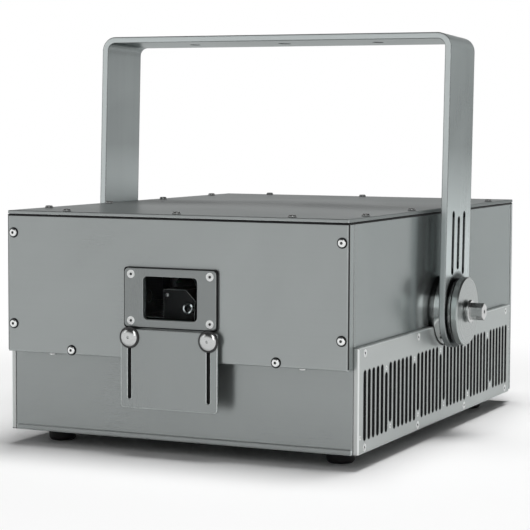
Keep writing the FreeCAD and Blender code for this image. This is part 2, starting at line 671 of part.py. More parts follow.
def rear_panel():
    """Plate that closes both bays, with a top flange and cut-outs for the connectors and controls."""
    panel = block(-X_SIDE, X_SIDE, Y_REAR_IN, Y_BACK, Z_BASE, Z_SHELL)
    x = X_FLANGE - COVER_LIP_GAP
    flange = block(-x, x, Y_REAR_IN - SHELL_FLANGE, Y_REAR_IN, Z_SHELL - SHEET, Z_SHELL)
    panel = panel.fuse(flange)
    fit = CONNECTOR_FIT
    wall = INLET_WALL + fit
    z = Z_BASE + INLET_RISE
    holes = ((INLET_X, INLET_MOUTH_WIDTH / 2, INLET_MOUTH_HEIGHT / 2),
             (X_SWITCH, ROCKER_WIDTH / 2 + ROCKER_GAP, ROCKER_HEIGHT / 2 + ROCKER_GAP))
    cutters = [block(x - half_x - wall, x + half_x + wall, Y_REAR_IN, Y_BACK,
                     z - half_z - wall, z + half_z + wall) for x, half_x, half_z in holes]
    cutters.append(rod(V(KEY_X, Y_REAR_IN, Z_BASE + KEY_RISE), AXIS_Y, KEY_BARREL_RADIUS + fit, REAR_SHEET))
    for x in data_places():
        cutters.append(rod(V(x, Y_REAR_IN, Z_BASE + DATA_RISE), AXIS_Y, DATA_BODY_RADIUS + fit, REAR_SHEET))
    for x in signal_places():
        half = SIGNAL_SHELL_WIDTH / 2 + fit
        rise = Z_BASE + SIGNAL_RISE
        tall = SIGNAL_SHELL_HEIGHT / 2 + fit
        cutters.append(block(x - half, x + half, Y_REAR_IN, Y_BACK, rise - tall, rise + tall))
    for point in rear_screw_points():
        cutters.append(rod(point, -AXIS_Y, SCREW_SHANK_RADIUS, REAR_SHEET))
    return panel.cut(cutters + cover_screw_holes())


# Window and shutter
def window_bezel():
    """Raised frame that holds the glass in the front panel."""
    bezel = plate_xz(0, Z_WINDOW, BEZEL_WIDTH, BEZEL_HEIGHT, BEZEL_CORNER, Y_BEZEL, Y_FRONT)
    opening = plate_xz(0, Z_WINDOW, OPENING_WIDTH, OPENING_HEIGHT, OPENING_CORNER, Y_BEZEL, Y_FRONT)
    hole = flush_hole(SCREW_HEAD_RADIUS, SCREW_SHANK_RADIUS, BEZEL_THICKNESS)
    return bezel.cut([opening] + [placed(hole, p, -AXIS_Y) for p in bezel_screw_points()])


def window_gasket():
    """Rubber ring between the bezel and the glass."""
    y1 = Y_FRONT + GASKET_THICKNESS
    margin = 2 * (GLASS_MARGIN - GLASS_FIT)
    ring = plate_xz(0, Z_WINDOW, OPENING_WIDTH + margin, OPENING_HEIGHT + margin, OPENING_CORNER, Y_FRONT, y1)
    return ring.cut(plate_xz(0, Z_WINDOW, OPENING_WIDTH, OPENING_HEIGHT, OPENING_CORNER, Y_FRONT, y1))


def window_glass():
    """Flat pane on the panel's inner ledge."""
    y0 = Y_FRONT + GASKET_THICKNESS
    margin = 2 * (GLASS_MARGIN - GLASS_FIT)
    return plate_xz(0, Z_WINDOW, OPENING_WIDTH + margin, OPENING_HEIGHT + margin, OPENING_CORNER,
                    y0, y0 + GLASS_THICKNESS)


def shutter_plate():
    """Sliding aperture plate, lowered, with a slot for each thumbscrew."""
    z = Z_SHUTTER_TOP - SHUTTER_HEIGHT / 2
    plate = plate_xz(0, z, SHUTTER_WIDTH, SHUTTER_HEIGHT, SHUTTER_CORNER, Y_SHUTTER, Y_SHUTTER_BACK)
    z0 = Z_THUMBSCREW - SHUTTER_TRAVEL - SLOT_WIDTH / 2
    z1 = Z_THUMBSCREW + SLOT_WIDTH / 2
    slots = [stadium_y(THUMBSCREW_SPAN / 2 * s, z0, z1, SLOT_WIDTH, Y_SHUTTER, Y_SHUTTER_BACK)
             for s in SIDES]
    return plate.cut(slots)


def shutter_standoffs():
    """Pressed bushes that hold the shutter plate clear of the bezel."""
    bushes = []
    for s in SIDES:
        seat = V(THUMBSCREW_SPAN / 2 * s, Y_FRONT, Z_THUMBSCREW)
        length = Y_FRONT - Y_SHUTTER_BACK
        bush = rod(seat, -AXIS_Y, STANDOFF_RADIUS, length)
        bushes.append(bush.cut(rod(seat, -AXIS_Y, THUMBSCREW_SHANK_RADIUS + FACE_GAP, length)))
    return Part.makeCompound(bushes)


def thumbscrew(side):
    """Turned thumbscrew with a wide collar and a domed end."""
    collar = rod(V(0, 0, 0), AXIS_Z, THUMBSCREW_COLLAR_RADIUS, THUMBSCREW_COLLAR_LENGTH)
    length = THUMBSCREW_COLLAR_LENGTH + THUMBSCREW_HEAD_LENGTH
    head = rod(V(0, 0, 0), AXIS_Z, THUMBSCREW_HEAD_RADIUS, length)
    rim = [e for e in head.Edges if abs(e.BoundBox.ZMin - length) < 1e-6]
    head = head.makeFillet(THUMBSCREW_DOME, rim[:1])
    pip = rod(V(0, 0, length - THUMBSCREW_DOME), AXIS_Z, THUMBSCREW_PIP_RADIUS, THUMBSCREW_DOME)
    shank_length = Y_FRONT + FRONT_SHEET - Y_SHUTTER
    shank = rod(V(0, 0, -shank_length), AXIS_Z, THUMBSCREW_SHANK_RADIUS, shank_length)
    screw = collar.fuse([head, shank]).cut(pip)
    return placed(screw, V(THUMBSCREW_SPAN / 2 * side, Y_SHUTTER, Z_THUMBSCREW), -AXIS_Y)


# Yoke and pivots
def yoke():
    """One bent strap with round arm ends, slots in the arms and holes in the bar, leaned back a little."""
    half = YOKE_WIDTH / 2
    outer = block(-X_YOKE_OUT, X_YOKE_OUT, -half, half, Z_PIVOT, Z_YOKE)
    bends = [e for e in edges_along(outer, AXIS_Y) if abs(e.BoundBox.ZMin - Z_YOKE) < 1e-6]
    outer = outer.makeFillet(YOKE_BEND_RADIUS, bends)
    inner = block(-X_YOKE_IN, X_YOKE_IN, -half, half, Z_PIVOT, Z_YOKE - YOKE_THICKNESS)
    inner_top = Z_YOKE - YOKE_THICKNESS
    bends = [e for e in edges_along(inner, AXIS_Y) if abs(e.BoundBox.ZMin - inner_top) < 1e-6]
    strap = outer.cut(inner.makeFillet(YOKE_BEND_RADIUS - YOKE_THICKNESS, bends))
    ends = [rod(V(X_YOKE_IN, 0, Z_PIVOT), AXIS_X, half, YOKE_THICKNESS)]
    ends.append(mirrored(ends[0]))
    strap = strap.fuse(ends).removeSplitter()
    cutters = [rod(V(-X_YOKE_OUT, 0, Z_PIVOT), AXIS_X, BOLT_RADIUS + BOLT_CLEARANCE, 2 * X_YOKE_OUT)]
    for step in (-1, 0, 1):
        trim = 0 if step else YOKE_SLOT_MIDDLE_STEP
        z0 = Z_PIVOT + YOKE_SLOT_START + trim
        z1 = Z_PIVOT + YOKE_SLOT_START + YOKE_SLOT_LENGTH - trim
        cutters.append(stadium_x(step * YOKE_SLOT_PITCH, z0, z1, YOKE_SLOT_WIDTH, -X_YOKE_OUT, X_YOKE_OUT))
    bar = V(0, 0, inner_top)
    cutters.append(rod(bar, AXIS_Z, YOKE_CENTRE_HOLE_RADIUS, YOKE_THICKNESS))
    for s in SIDES:
        seat = bar + V(YOKE_SIDE_HOLE_SPAN / 2 * s, 0, 0)
        cutters.append(rod(seat, AXIS_Z, YOKE_SIDE_HOLE_RADIUS, YOKE_THICKNESS))
    strap = strap.cut(cutters)
    strap.rotate(V(0, 0, Z_PIVOT), AXIS_X, -YOKE_LEAN_DEGREES)
    return strap


def pivot_ring(x0, length, radius):
    """Ring round the right pivot."""
    ring = rod(V(x0, 0, Z_PIVOT), AXIS_X, radius, length)
    return ring.cut(rod(V(x0, 0, Z_PIVOT), AXIS_X, BOLT_RADIUS + BOLT_CLEARANCE, length))


def clamp_disc():
    """Right clamp disc with a chamfered outer edge."""
    disc = pivot_ring(X_DISC_IN, DISC_LENGTH, HUB_RADIUS)
    circles = [e for e in disc.Edges if isinstance(e.Curve, Part.Circle)]
    rims = [e for e in circles if abs(e.Curve.Radius - HUB_RADIUS) < 1e-6]
    return disc.makeChamfer(DISC_CHAMFER, rims)


def clamp_bolt():
    """Right hex bolt with a flange, screwed into the pivot block."""
    start = V(X_BLOCK_IN, 0, Z_PIVOT)
    shank = rod(start, AXIS_X, BOLT_RADIUS, X_FLANGE_IN - X_BLOCK_IN)
    flange = rod(V(X_FLANGE_IN, 0, Z_PIVOT), AXIS_X, BOLT_FLANGE_RADIUS, BOLT_FLANGE_LENGTH)
    head = placed(hexagon(BOLT_HEX_FLATS, BOLT_HEX_LENGTH), V(X_HEX_IN, 0, Z_PIVOT), AXIS_X)
    head.rotate(V(0, 0, Z_PIVOT), AXIS_X, BOLT_HEX_TURN)
    hole = rod(V(X_HEX_OUT - BOLT_HOLE_DEPTH, 0, Z_PIVOT), AXIS_X, BOLT_HOLE_RADIUS, BOLT_HOLE_DEPTH)
    return shank.fuse([flange, head]).cut(hole)


def pivot_block():
    """Right inner block that takes the bolt and stands on the bench."""
    half = PIVOT_BLOCK_DEPTH / 2
    body = block(X_BLOCK_IN, X_INNER, -half, half, Z_BENCH, Z_BENCH + PIVOT_BLOCK_HEIGHT)
    return body.cut(rod(V(X_BLOCK_IN, 0, Z_PIVOT), AXIS_X, BOLT_RADIUS + BOLT_CLEARANCE, PIVOT_BLOCK_LENGTH))


# Vent panels
def vent_panel():
    """Right folded cover with upright slots and a notch round the pivot boss."""
    y0 = Y_VENT_FRONT
    y1 = y0 + VENT_LENGTH
    z1 = Z_BASE + VENT_HEIGHT
    panel = block(X_SIDE, X_VENT, y0, y1, Z_BASE, z1)
    face = [e for e in panel.Edges if abs(e.BoundBox.XMin - X_VENT) < 1e-6]
    panel = panel.makeFillet(VENT_EDGE_RADIUS, face)
    wall = VENT_SHEET
    hollow = block(X_SIDE, X_VENT - wall, y0 + wall, y1 - wall, Z_BASE + wall, z1 - wall)
    notch = rod(V(X_SIDE, 0, Z_PIVOT), AXIS_X, HUB_RADIUS + VENT_NOTCH_GAP, BOSS_LENGTH)
    low = Z_BASE + VENT_SLOT_RISE
    high = low + VENT_SLOT_LENGTH
    cutters = [hollow, notch]
    for n in range(VENT_SLOT_COUNT):
        top_short = n % VENT_SHORT_EVERY == VENT_SHORT_TOP_FIRST % VENT_SHORT_EVERY
        bottom_short = n % VENT_SHORT_EVERY == VENT_SHORT_BOTTOM_FIRST % VENT_SHORT_EVERY
        start = low + (VENT_SHORT_STEP if bottom_short else 0)
        end = high - (VENT_SHORT_STEP if top_short else 0)
        cutters.append(stadium_x(vent_slot_y(n), start, end, VENT_SLOT_WIDTH, X_VENT - wall, X_VENT))
    big = flush_hole(SCREW_HEAD_RADIUS, SCREW_SHANK_RADIUS, BOSS_LENGTH)
    small = flush_hole(SMALL_SCREW_HEAD_RADIUS, SMALL_SCREW_SHANK_RADIUS, wall)
    cutters += [placed(big, p, AXIS_X) for p in vent_screw_points()]
    cutters += [placed(small, p, AXIS_X) for p in vent_small_screw_points()]
    return panel.cut(cutters)


def dust_filter():
    """Right filter mat behind the slots."""
    inset = VENT_SHEET + FILTER_MARGIN
    y0 = Y_VENT_FRONT + VENT_SHEET + FILTER_GAP
    y1 = Y_VENT_FRONT + VENT_LENGTH - VENT_SHEET - FILTER_GAP
    z0 = Z_BASE + VENT_SLOT_RISE - FILTER_MARGIN
    z1 = Z_BASE + VENT_SLOT_RISE + VENT_SLOT_LENGTH + FILTER_MARGIN
    mat = block(X_SIDE, X_VENT - VENT_SHEET, y0, y1, z0, z1)
    notch = rod(V(X_SIDE, 0, Z_PIVOT), AXIS_X, HUB_RADIUS + inset, BOSS_LENGTH)
    holes = [rod(p - V(SMALL_SCREW_LENGTH, 0, 0), AXIS_X, SMALL_SCREW_SHANK_RADIUS, SMALL_SCREW_LENGTH)
             for p in vent_small_screw_points()]
    return mat.cut([notch] + holes)


# Screw groups and feet
def front_screws():
    """Six button screws on the front panel and two under its lower edge."""
    points = front_screw_points()
    corner = button_screw(FRONT_DEPTH + SHEET)
    low = button_screw(FRONT_DEPTH + SCREW_GRIP)
    under = button_screw(UNDER_SCREW_GRIP)
    screws = [placed(corner, p, -AXIS_Y) for p in points[:4]]
    screws += [placed(low, p, -AXIS_Y) for p in points[4:]]
    screws += [placed(under, p, -AXIS_Z) for p in under_screw_points()]
    return Part.makeCompound(screws)


def housing_screws():
    """Button screws of the top cover, the rear panel and the feet."""
    screw = button_screw(HOUSING_SCREW_GRIP)
    screws = [placed(screw, p, AXIS_Z) for p in cover_screw_points()]
    screws += [placed(screw, p, AXIS_Y) for p in rear_screw_points()]
    screws += [placed(screw, V(x, y, FOOT_RECESS_DEPTH), -AXIS_Z) for x, y in foot_places()]
    return Part.makeCompound(screws)


def flush_screws():
    """Countersunk screws of the bezel and both vent panels."""
    screw = flush_screw(SCREW_HEAD_RADIUS, SCREW_SHANK_RADIUS, FLUSH_SCREW_LENGTH, SOCKET_FLATS)
    right = [placed(screw, p, AXIS_X) for p in vent_screw_points()]
    front = [placed(screw, p, -AXIS_Y) for p in bezel_screw_points()]
    return Part.makeCompound(front + right + [mirrored(s) for s in right])


def filter_screws():
    """Small flush screws that hold the filter mats."""
    screw = flush_screw(SMALL_SCREW_HEAD_RADIUS, SMALL_SCREW_SHANK_RADIUS, SMALL_SCREW_LENGTH,
                        SOCKET_FLATS / 2)
    right = [placed(screw, p, AXIS_X) for p in vent_small_screw_points()]
    return Part.makeCompound(right + [mirrored(s) for s in right])


def foot_places():
    """Centres of the four feet."""
    x = X_SIDE - FOOT_SIDE_INSET
    ends = (Y_BODY + FOOT_FRONT_INSET, Y_REAR_IN - FOOT_REAR_INSET)
    return [(x * s, y) for s in SIDES for y in ends]


def rubber_feet():
    """Round feet with a soft lower edge and a recess for the screw."""
    feet = []
    for x, y in foot_places():
        foot = rod(V(x, y, 0), AXIS_Z, FOOT_RADIUS, FOOT_HEIGHT)
        lower = [e for e in foot.Edges if e.BoundBox.ZMax < FOOT_EDGE_RADIUS]
        foot = foot.makeFillet(FOOT_EDGE_RADIUS, lower)
        recess = rod(V(x, y, 0), AXIS_Z, FOOT_RECESS_RADIUS, FOOT_RECESS_DEPTH)
        hole = rod(V(x, y, 0), AXIS_Z, SCREW_SHANK_RADIUS, FOOT_HEIGHT)
        feet.append(foot.cut([recess, hole]))
    return Part.makeCompound(feet)


# Fans and heat sink
def fan_places():
    """Places of the fan centres along the side walls."""
    return (-FAN_SPACING / 2, FAN_SPACING / 2)


def fan_frames():
    """Square fan frames with struts and a bearing pin, against the side walls."""
    half = FAN_SIZE / 2
    z = Z_BASE + FAN_RISE
    x0 = X_INNER - FAN_THICKNESS
    frames = []
    for y in fan_places():
        frame = block(x0, X_INNER, y - half, y + half, z - half, z + half)
        frame = rounded(frame, AXIS_X, FAN_CORNER)
        frame = frame.cut(rod(V(x0, y, z), AXIS_X, FAN_BORE_RADIUS, FAN_THICKNESS))
        wide = FAN_STRUT_WIDTH / 2
        upright = block(x0, x0 + FAN_STRUT_THICKNESS, y - wide, y + wide, z - half, z + half)
        across = block(x0, x0 + FAN_STRUT_THICKNESS, y - half, y + half, z - wide, z + wide)
        cup = rod(V(x0, y, z), AXIS_X, FAN_HUB_RADIUS, FAN_STRUT_THICKNESS)
        pin = rod(V(x0, y, z), AXIS_X, FAN_PIN_RADIUS, FAN_STRUT_THICKNESS + FAN_HUB_LENGTH / 2)
        frames.append(frame.fuse([upright, across, cup, pin]))
    return Part.makeCompound(frames + [mirrored(f) for f in frames])


def fan_rotor(side, y):
    """Hub with tilted blades on the frame's pin."""
    z = Z_BASE + FAN_RISE
    start = X_INNER - FAN_THICKNESS + FAN_STRUT_THICKNESS + FACE_GAP
    hub = rod(V(start, y, z), AXIS_X, FAN_HUB_RADIUS, FAN_HUB_LENGTH)
    reach = FAN_BORE_RADIUS - FAN_TIP_GAP
    middle = start + FAN_HUB_LENGTH / 2
    blades = []
    for n in range(FAN_BLADE_COUNT):
        blade = block(-FAN_BLADE_THICKNESS / 2, FAN_BLADE_THICKNESS / 2,
                      -FAN_BLADE_CHORD / 2, FAN_BLADE_CHORD / 2, FAN_HUB_RADIUS / 2, reach + FAN_TIP_GAP)
        blade.rotate(V(0, 0, 0), AXIS_Z, 90 - FAN_BLADE_TILT)
        blade.rotate(V(0, 0, 0), AXIS_X, 360 / FAN_BLADE_COUNT * n)
        blade.translate(V(middle, y, z))
        blades.append(blade)
    tips = rod(V(start, y, z), AXIS_X, reach, FAN_HUB_LENGTH)
    pin = rod(V(start, y, z), AXIS_X, FAN_PIN_RADIUS + FAN_PIN_CLEARANCE, FAN_HUB_LENGTH / 2 + FACE_GAP)
    rotor = hub.fuse(blades).common(tips).cut(pin)
    return rotor if side > 0 else mirrored(rotor)


def heat_sink():
    """Finned block under the bench, fins across the airflow between the fans."""
    half_x = HEAT_SINK_WIDTH / 2
    half_y = HEAT_SINK_LENGTH / 2
    body = block(-half_x, half_x, -half_y, half_y, Z_DECK - HEAT_SINK_BASE, Z_DECK)
    pitch = (HEAT_SINK_LENGTH - HEAT_SINK_FIN) / (HEAT_SINK_FIN_COUNT - 1)
    fins = []
    for n in range(HEAT_SINK_FIN_COUNT):
        y = -half_y + n * pitch
        fins.append(block(-half_x, half_x, y, y + HEAT_SINK_FIN,
                          Z_DECK - HEAT_SINK_HEIGHT, Z_DECK - HEAT_SINK_BASE))
    return body.fuse(fins)


# Electronics
def board(x, y, z, width, length):
    """Circuit board with a row of chips and a connector block."""
    plate = centred(x, y, z, width, length, BOARD_THICKNESS)
    top = z + BOARD_THICKNESS
    chips = []
    for step in (-1, 0, 1):
        chip_x = x + step * width / 4
        chips.append(centred(chip_x, y, top, width * CHIP_WIDTH_SHARE,
                             length * CHIP_LENGTH_SHARE, CHIP_HEIGHT))
    chips.append(centred(x, y + length / 3, top, width * TERMINAL_WIDTH_SHARE,
                         length * TERMINAL_LENGTH_SHARE, TERMINAL_HEIGHT))
    return plate.fuse(chips)


def board_places():
    """Centre, seat height and size of each board."""
    return {
        "laser_driver_board": (0, DRIVER_BOARD_Y, Z_FLOOR, DRIVER_BOARD_WIDTH, DRIVER_BOARD_LENGTH),
        "control_board": (CONTROL_BOARD_X, CONTROL_BOARD_Y, Z_FLOOR,
                          CONTROL_BOARD_WIDTH, CONTROL_BOARD_LENGTH),
        "scanner_driver_board": (SCAN_BOARD_X, SCAN_BOARD_Y, Z_BENCH,
                                 SCAN_BOARD_WIDTH, SCAN_BOARD_LENGTH),
    }


def board_standoffs():
    """Four short posts under each board."""
    posts = []
    for x, y, z, width, length in board_places().values():
        half_x = width / 2 - BOARD_STANDOFF_INSET
        half_y = length / 2 - BOARD_STANDOFF_INSET
        for sx in SIDES:
            for sy in SIDES:
                seat = V(x + half_x * sx, y + half_y * sy, z)
                posts.append(rod(seat, AXIS_Z, BOARD_STANDOFF_RADIUS, STANDOFF_HEIGHT))
    return Part.makeCompound(posts)


def power_supply():
    """Enclosed supply on the floor of the base tray."""
    return centred(SUPPLY_CENTRE_X, SUPPLY_CENTRE_Y, Z_FLOOR, SUPPLY_WIDTH, SUPPLY_LENGTH, SUPPLY_HEIGHT)


# Optics
def laser_x(index):
    """Place of one laser module across the bench."""
    return LASER_CENTRE_X + (index - 1) * LASER_PITCH


def laser_module(index):
    """Laser head with its output port."""
    x = laser_x(index)
    body = centred(x, LASER_CENTRE_Y, Z_BENCH, LASER_WIDTH, LASER_LENGTH, LASER_HEIGHT)
    seat = V(x, LASER_CENTRE_Y - LASER_LENGTH / 2, Z_BEAM)
    return body.fuse(rod(seat, -AXIS_Y, LASER_PORT_RADIUS, LASER_PORT_LENGTH))


def turned(shape, x):
    """Shape turned by half a right angle about a mirror's upright axis."""
    copy = shape.copy()
    copy.rotate(V(x, MIRROR_ROW_Y, 0), AXIS_Z, MIRROR_TURN)
    return copy


def mirror_mounts():
    """Posts with square plates, one in front of each laser."""
    mounts = []
    half = MIRROR_MOUNT_SIZE / 2
    for index in range(LASER_COUNT):
        x = laser_x(index)
        y0 = MIRROR_ROW_Y
        plate = block(x - half, x + half, y0, y0 + MIRROR_MOUNT_THICKNESS, Z_BEAM - half, Z_BEAM + half)
        seat = V(x, y0 + MIRROR_MOUNT_THICKNESS / 2, Z_BENCH)
        post = rod(seat, AXIS_Z, MIRROR_POST_RADIUS, Z_BEAM - half - Z_BENCH)
        mounts.append(turned(plate.fuse(post), x))
    return Part.makeCompound(mounts)


def combining_mirrors():
    """Round mirrors on the faces of the mounts."""
    mirrors = []
    for index in range(LASER_COUNT):
        x = laser_x(index)
        disc = rod(V(x, MIRROR_ROW_Y, Z_BEAM), -AXIS_Y, MIRROR_DIAMETER / 2, MIRROR_THICKNESS)
        mirrors.append(turned(disc, x))
    return Part.makeCompound(mirrors)


def scanner_axes():
    """Axis points of the two scanner mirrors."""
    x = SCANNER_LEFT_X - SCANNER_AXIS_X_OFFSET
    face = Y_FRONT + SCANNER_SETBACK
    first = V(x, face + SCANNER_X_AXIS_DEPTH, Z_BASE + SCANNER_Y_AXIS_RISE)
    second = V(x, face + SCANNER_Y_AXIS_DEPTH, Z_BASE + SCANNER_Y_AXIS_RISE)
    return first, second


def scanner_motor_seats():
    """Inner end and direction of each motor: one below its mirror, one beside it."""
    first, second = scanner_axes()
    reach = SCANNER_MIRROR_LENGTH / 2 + SCANNER_SHAFT_LENGTH
    return (first - AXIS_Z * reach, -AXIS_Z), (second + AXIS_X * reach, AXIS_X)


def scanner_block():
    """Black block on the bench that holds both scanner motors and the clamp screw."""
    face = Y_FRONT + SCANNER_SETBACK
    x1 = SCANNER_LEFT_X + SCANNER_WIDTH
    top = Z_BENCH + SCANNER_HEIGHT
    body = block(SCANNER_LEFT_X, x1, face, face + SCANNER_DEPTH, Z_BENCH, top)
    edge = [e for e in edges_along(body, AXIS_Y)
            if abs(e.BoundBox.XMin - x1) < 1e-6 and e.BoundBox.ZMin > Z_BENCH]
    body = body.makeChamfer(SCANNER_CHAMFER, edge)
    arm = block(SCANNER_LEFT_X - SCANNER_ARM_LENGTH, SCANNER_LEFT_X, face, face + SCANNER_DEPTH,
                Z_BENCH, Z_BENCH + SCANNER_ARM_HEIGHT)
    bores = []
    for seat, axis in scanner_motor_seats():
        length = SCANNER_SHAFT_LENGTH + SCANNER_MOTOR_LENGTH
        bores.append(rod(seat - axis * SCANNER_SHAFT_LENGTH, axis, SCANNER_MOTOR_RADIUS, length))
    return body.fuse(arm).removeSplitter().cut(bores)


def scanner_motors():
    """Two slim motors in the block's bores, open for the mirror shafts."""
    motors = []
    for seat, axis in scanner_motor_seats():
        motor = rod(seat, axis, SCANNER_MOTOR_RADIUS, SCANNER_MOTOR_LENGTH)
        shaft = rod(seat, axis, SCANNER_SHAFT_RADIUS + FAN_PIN_CLEARANCE, SCANNER_MOTOR_LENGTH / 2)
        motors.append(motor.cut(shaft))
    return Part.makeCompound(motors)


def scanner_mirror(centre, axis, start_turn):
    """Thin mirror on the end of a motor shaft."""
    long = SCANNER_MIRROR_LENGTH
    mirror = centred(0, 0, -long / 2, SCANNER_MIRROR_WIDTH, SCANNER_MIRROR_THICKNESS, long)
    mirror.rotate(V(0, 0, 0), AXIS_Z, start_turn)
    reach = long / 2 + SCANNER_SHAFT_LENGTH + SCANNER_MOTOR_LENGTH / 2 - FACE_GAP
    shaft = rod(V(0, 0, long / 2), AXIS_Z, SCANNER_SHAFT_RADIUS, reach - long / 2)
    return placed(mirror.fuse(shaft), centre, axis)


def clamp_screw():
    """Polished socket screw in the face of the scanner block."""
    face = Y_FRONT + SCANNER_SETBACK
    head = rod(V(0, 0, 0), AXIS_Z, CLAMP_SCREW_RADIUS, CLAMP_SCREW_LENGTH)
    socket = hexagon(CLAMP_SCREW_RADIUS, CLAMP_SOCKET_DEPTH)
    socket.translate(V(0, 0, CLAMP_SCREW_LENGTH - CLAMP_SOCKET_DEPTH))
    return placed(head.cut(socket), V(CLAMP_SCREW_X, face, Z_BASE + CLAMP_SCREW_RISE), -AXIS_Y)


# Rear connectors and controls
def data_places():
    """Places of the round data sockets across the rear panel."""
    return [DATA_FIRST_X - n * DATA_PITCH for n in range(DATA_COUNT)]


def signal_places():
    """Places of the two wide signal sockets."""
    return (SIGNAL_X - SIGNAL_PITCH / 2, SIGNAL_X + SIGNAL_PITCH / 2)


def mains_inlet():
    """Moulded inlet with three blades, and beside it the well and pin of the power switch."""
    z = Z_BASE + INLET_RISE
    outside = Y_BACK + CONNECTOR_FLANGE
    width = INLET_WIDTH + SWITCH_WIDTH
    flange = plate_xz(INLET_X + SWITCH_WIDTH / 2, z, width, INLET_HEIGHT, CONNECTOR_FLANGE, Y_BACK, outside)
    half_x = INLET_MOUTH_WIDTH / 2
    half_z = INLET_MOUTH_HEIGHT / 2
    wall = INLET_WALL
    body = block(INLET_X - half_x - wall, INLET_X + half_x + wall, Y_BACK - INLET_DEPTH, Y_BACK,
                 z - half_z - wall, z + half_z + wall)
    floor = outside - INLET_MOUTH_DEPTH
    mouth = block(INLET_X - half_x, INLET_X + half_x, floor, outside, z - half_z, z + half_z)
    blades = []
    for step in (-1, 0, 1):
        x = INLET_X + step * INLET_PIN_PITCH
        middle = z if step else z + INLET_PIN_HEIGHT / 2
        blades.append(block(x - INLET_PIN_WIDTH / 2, x + INLET_PIN_WIDTH / 2, floor, floor + INLET_PIN_LENGTH,
                            middle - INLET_PIN_HEIGHT / 2, middle + INLET_PIN_HEIGHT / 2))
    gap_x = ROCKER_WIDTH / 2 + ROCKER_GAP
    gap_z = ROCKER_HEIGHT / 2 + ROCKER_GAP
    box = block(X_SWITCH - gap_x - wall, X_SWITCH + gap_x + wall, Y_BACK - SWITCH_DEPTH, Y_BACK,
                z - gap_z - wall, z + gap_z + wall)
    well = block(X_SWITCH - gap_x, X_SWITCH + gap_x, Y_BACK - SWITCH_DEPTH + wall, outside,
                 z - gap_z, z + gap_z)
    pin = rod(V(X_SWITCH - gap_x, Y_BACK, z), AXIS_X, ROCKER_PIN_RADIUS, 2 * gap_x)
    return flange.fuse([body, box]).cut([mouth, well]).fuse(blades + [pin])


def power_rocker():
    """Rocker of the power switch, pressed to its off side."""
    z = Z_BASE + INLET_RISE
    radius = ROCKER_HEIGHT / 2
    face = Y_BACK + CONNECTOR_FLANGE + ROCKER_PROUD
    x0 = X_SWITCH - ROCKER_WIDTH / 2
    drum = rod(V(x0, Y_BACK, z), AXIS_X, radius, ROCKER_WIDTH)
    slab = block(x0, x0 + ROCKER_WIDTH, Y_BACK - ROCKER_PIN_RADIUS * 2, face, z - radius, z + radius)
    hole = rod(V(x0, Y_BACK, z), AXIS_X, ROCKER_PIN_RADIUS + ROCKER_PIN_CLEARANCE, ROCKER_WIDTH)
    rocker = drum.common(slab).cut(hole)
    rocker.rotate(V(X_SWITCH, Y_BACK, z), AXIS_X, -ROCKER_SWING / 2)
    return rocker


def data_sockets():
    """Three round sockets on square flanges, each with three pins."""
    z = Z_BASE + DATA_RISE
    outside = Y_BACK + CONNECTOR_FLANGE
    sockets = []
    for x in data_places():
        flange = plate_xz(x, z, DATA_FLANGE_WIDTH, DATA_FLANGE_HEIGHT, CONNECTOR_FLANGE, Y_BACK, outside)
        body = rod(V(x, Y_BACK - DATA_DEPTH, z), AXIS_Y, DATA_BODY_RADIUS, DATA_DEPTH)
        floor = outside - DATA_MOUTH_DEPTH
        mouth = rod(V(x, floor, z), AXIS_Y, DATA_MOUTH_RADIUS, DATA_MOUTH_DEPTH)
        pins = []
        for turn in DATA_PIN_TURNS:
            angle = math.radians(turn)
            offset = V(DATA_PIN_CIRCLE * math.cos(angle), 0, DATA_PIN_CIRCLE * math.sin(angle))
            pins.append(rod(V(x, floor, z) + offset, AXIS_Y, DATA_PIN_RADIUS, DATA_PIN_LENGTH))
        sockets.append(flange.fuse(body).cut(mouth).fuse(pins))
    return Part.makeCompound(sockets)


def signal_sockets():
    """Two wide sockets with a metal shell between two posts."""
    z = Z_BASE + SIGNAL_RISE
    outside = Y_BACK + CONNECTOR_FLANGE
    sockets = []
    for x in signal_places():
        flange = plate_xz(x, z, SIGNAL_FLANGE_WIDTH, SIGNAL_FLANGE_HEIGHT, CONNECTOR_FLANGE, Y_BACK, outside)
        half_x = SIGNAL_SHELL_WIDTH / 2
        half_z = SIGNAL_SHELL_HEIGHT / 2
        shell = block(x - half_x, x + half_x, Y_BACK - SIGNAL_BODY_DEPTH, outside + SIGNAL_SHELL_LENGTH,
                      z - half_z, z + half_z)
        span = SIGNAL_POST_SPAN / 2
        posts = [rod(V(x + span * s, outside, z), AXIS_Y, SIGNAL_POST_RADIUS, SIGNAL_POST_LENGTH)
                 for s in SIDES]
        sockets.append(flange.fuse([rounded(shell, AXIS_Y, CONNECTOR_FLANGE)] + posts))
    return Part.makeCompound(sockets)


def key_switch():
    """Barrel with a collar and a keyway."""
    z = Z_BASE + KEY_RISE
    collar = rod(V(KEY_X, Y_BACK, z), AXIS_Y, KEY_COLLAR_RADIUS, KEY_COLLAR_LENGTH)
    barrel = rod(V(KEY_X, Y_BACK - KEY_BARREL_DEPTH, z), AXIS_Y, KEY_BARREL_RADIUS, KEY_BARREL_DEPTH)
    start = Y_BACK + KEY_COLLAR_LENGTH - KEY_BLADE_DEPTH - KEY_FIT
    swing = math.hypot(KEY_BLADE_WIDTH, KEY_BLADE_THICKNESS) / 2 + KEY_FIT
    return collar.fuse(barrel).cut(rod(V(KEY_X, start, z), AXIS_Y, swing, KEY_BLADE_DEPTH + KEY_FIT))


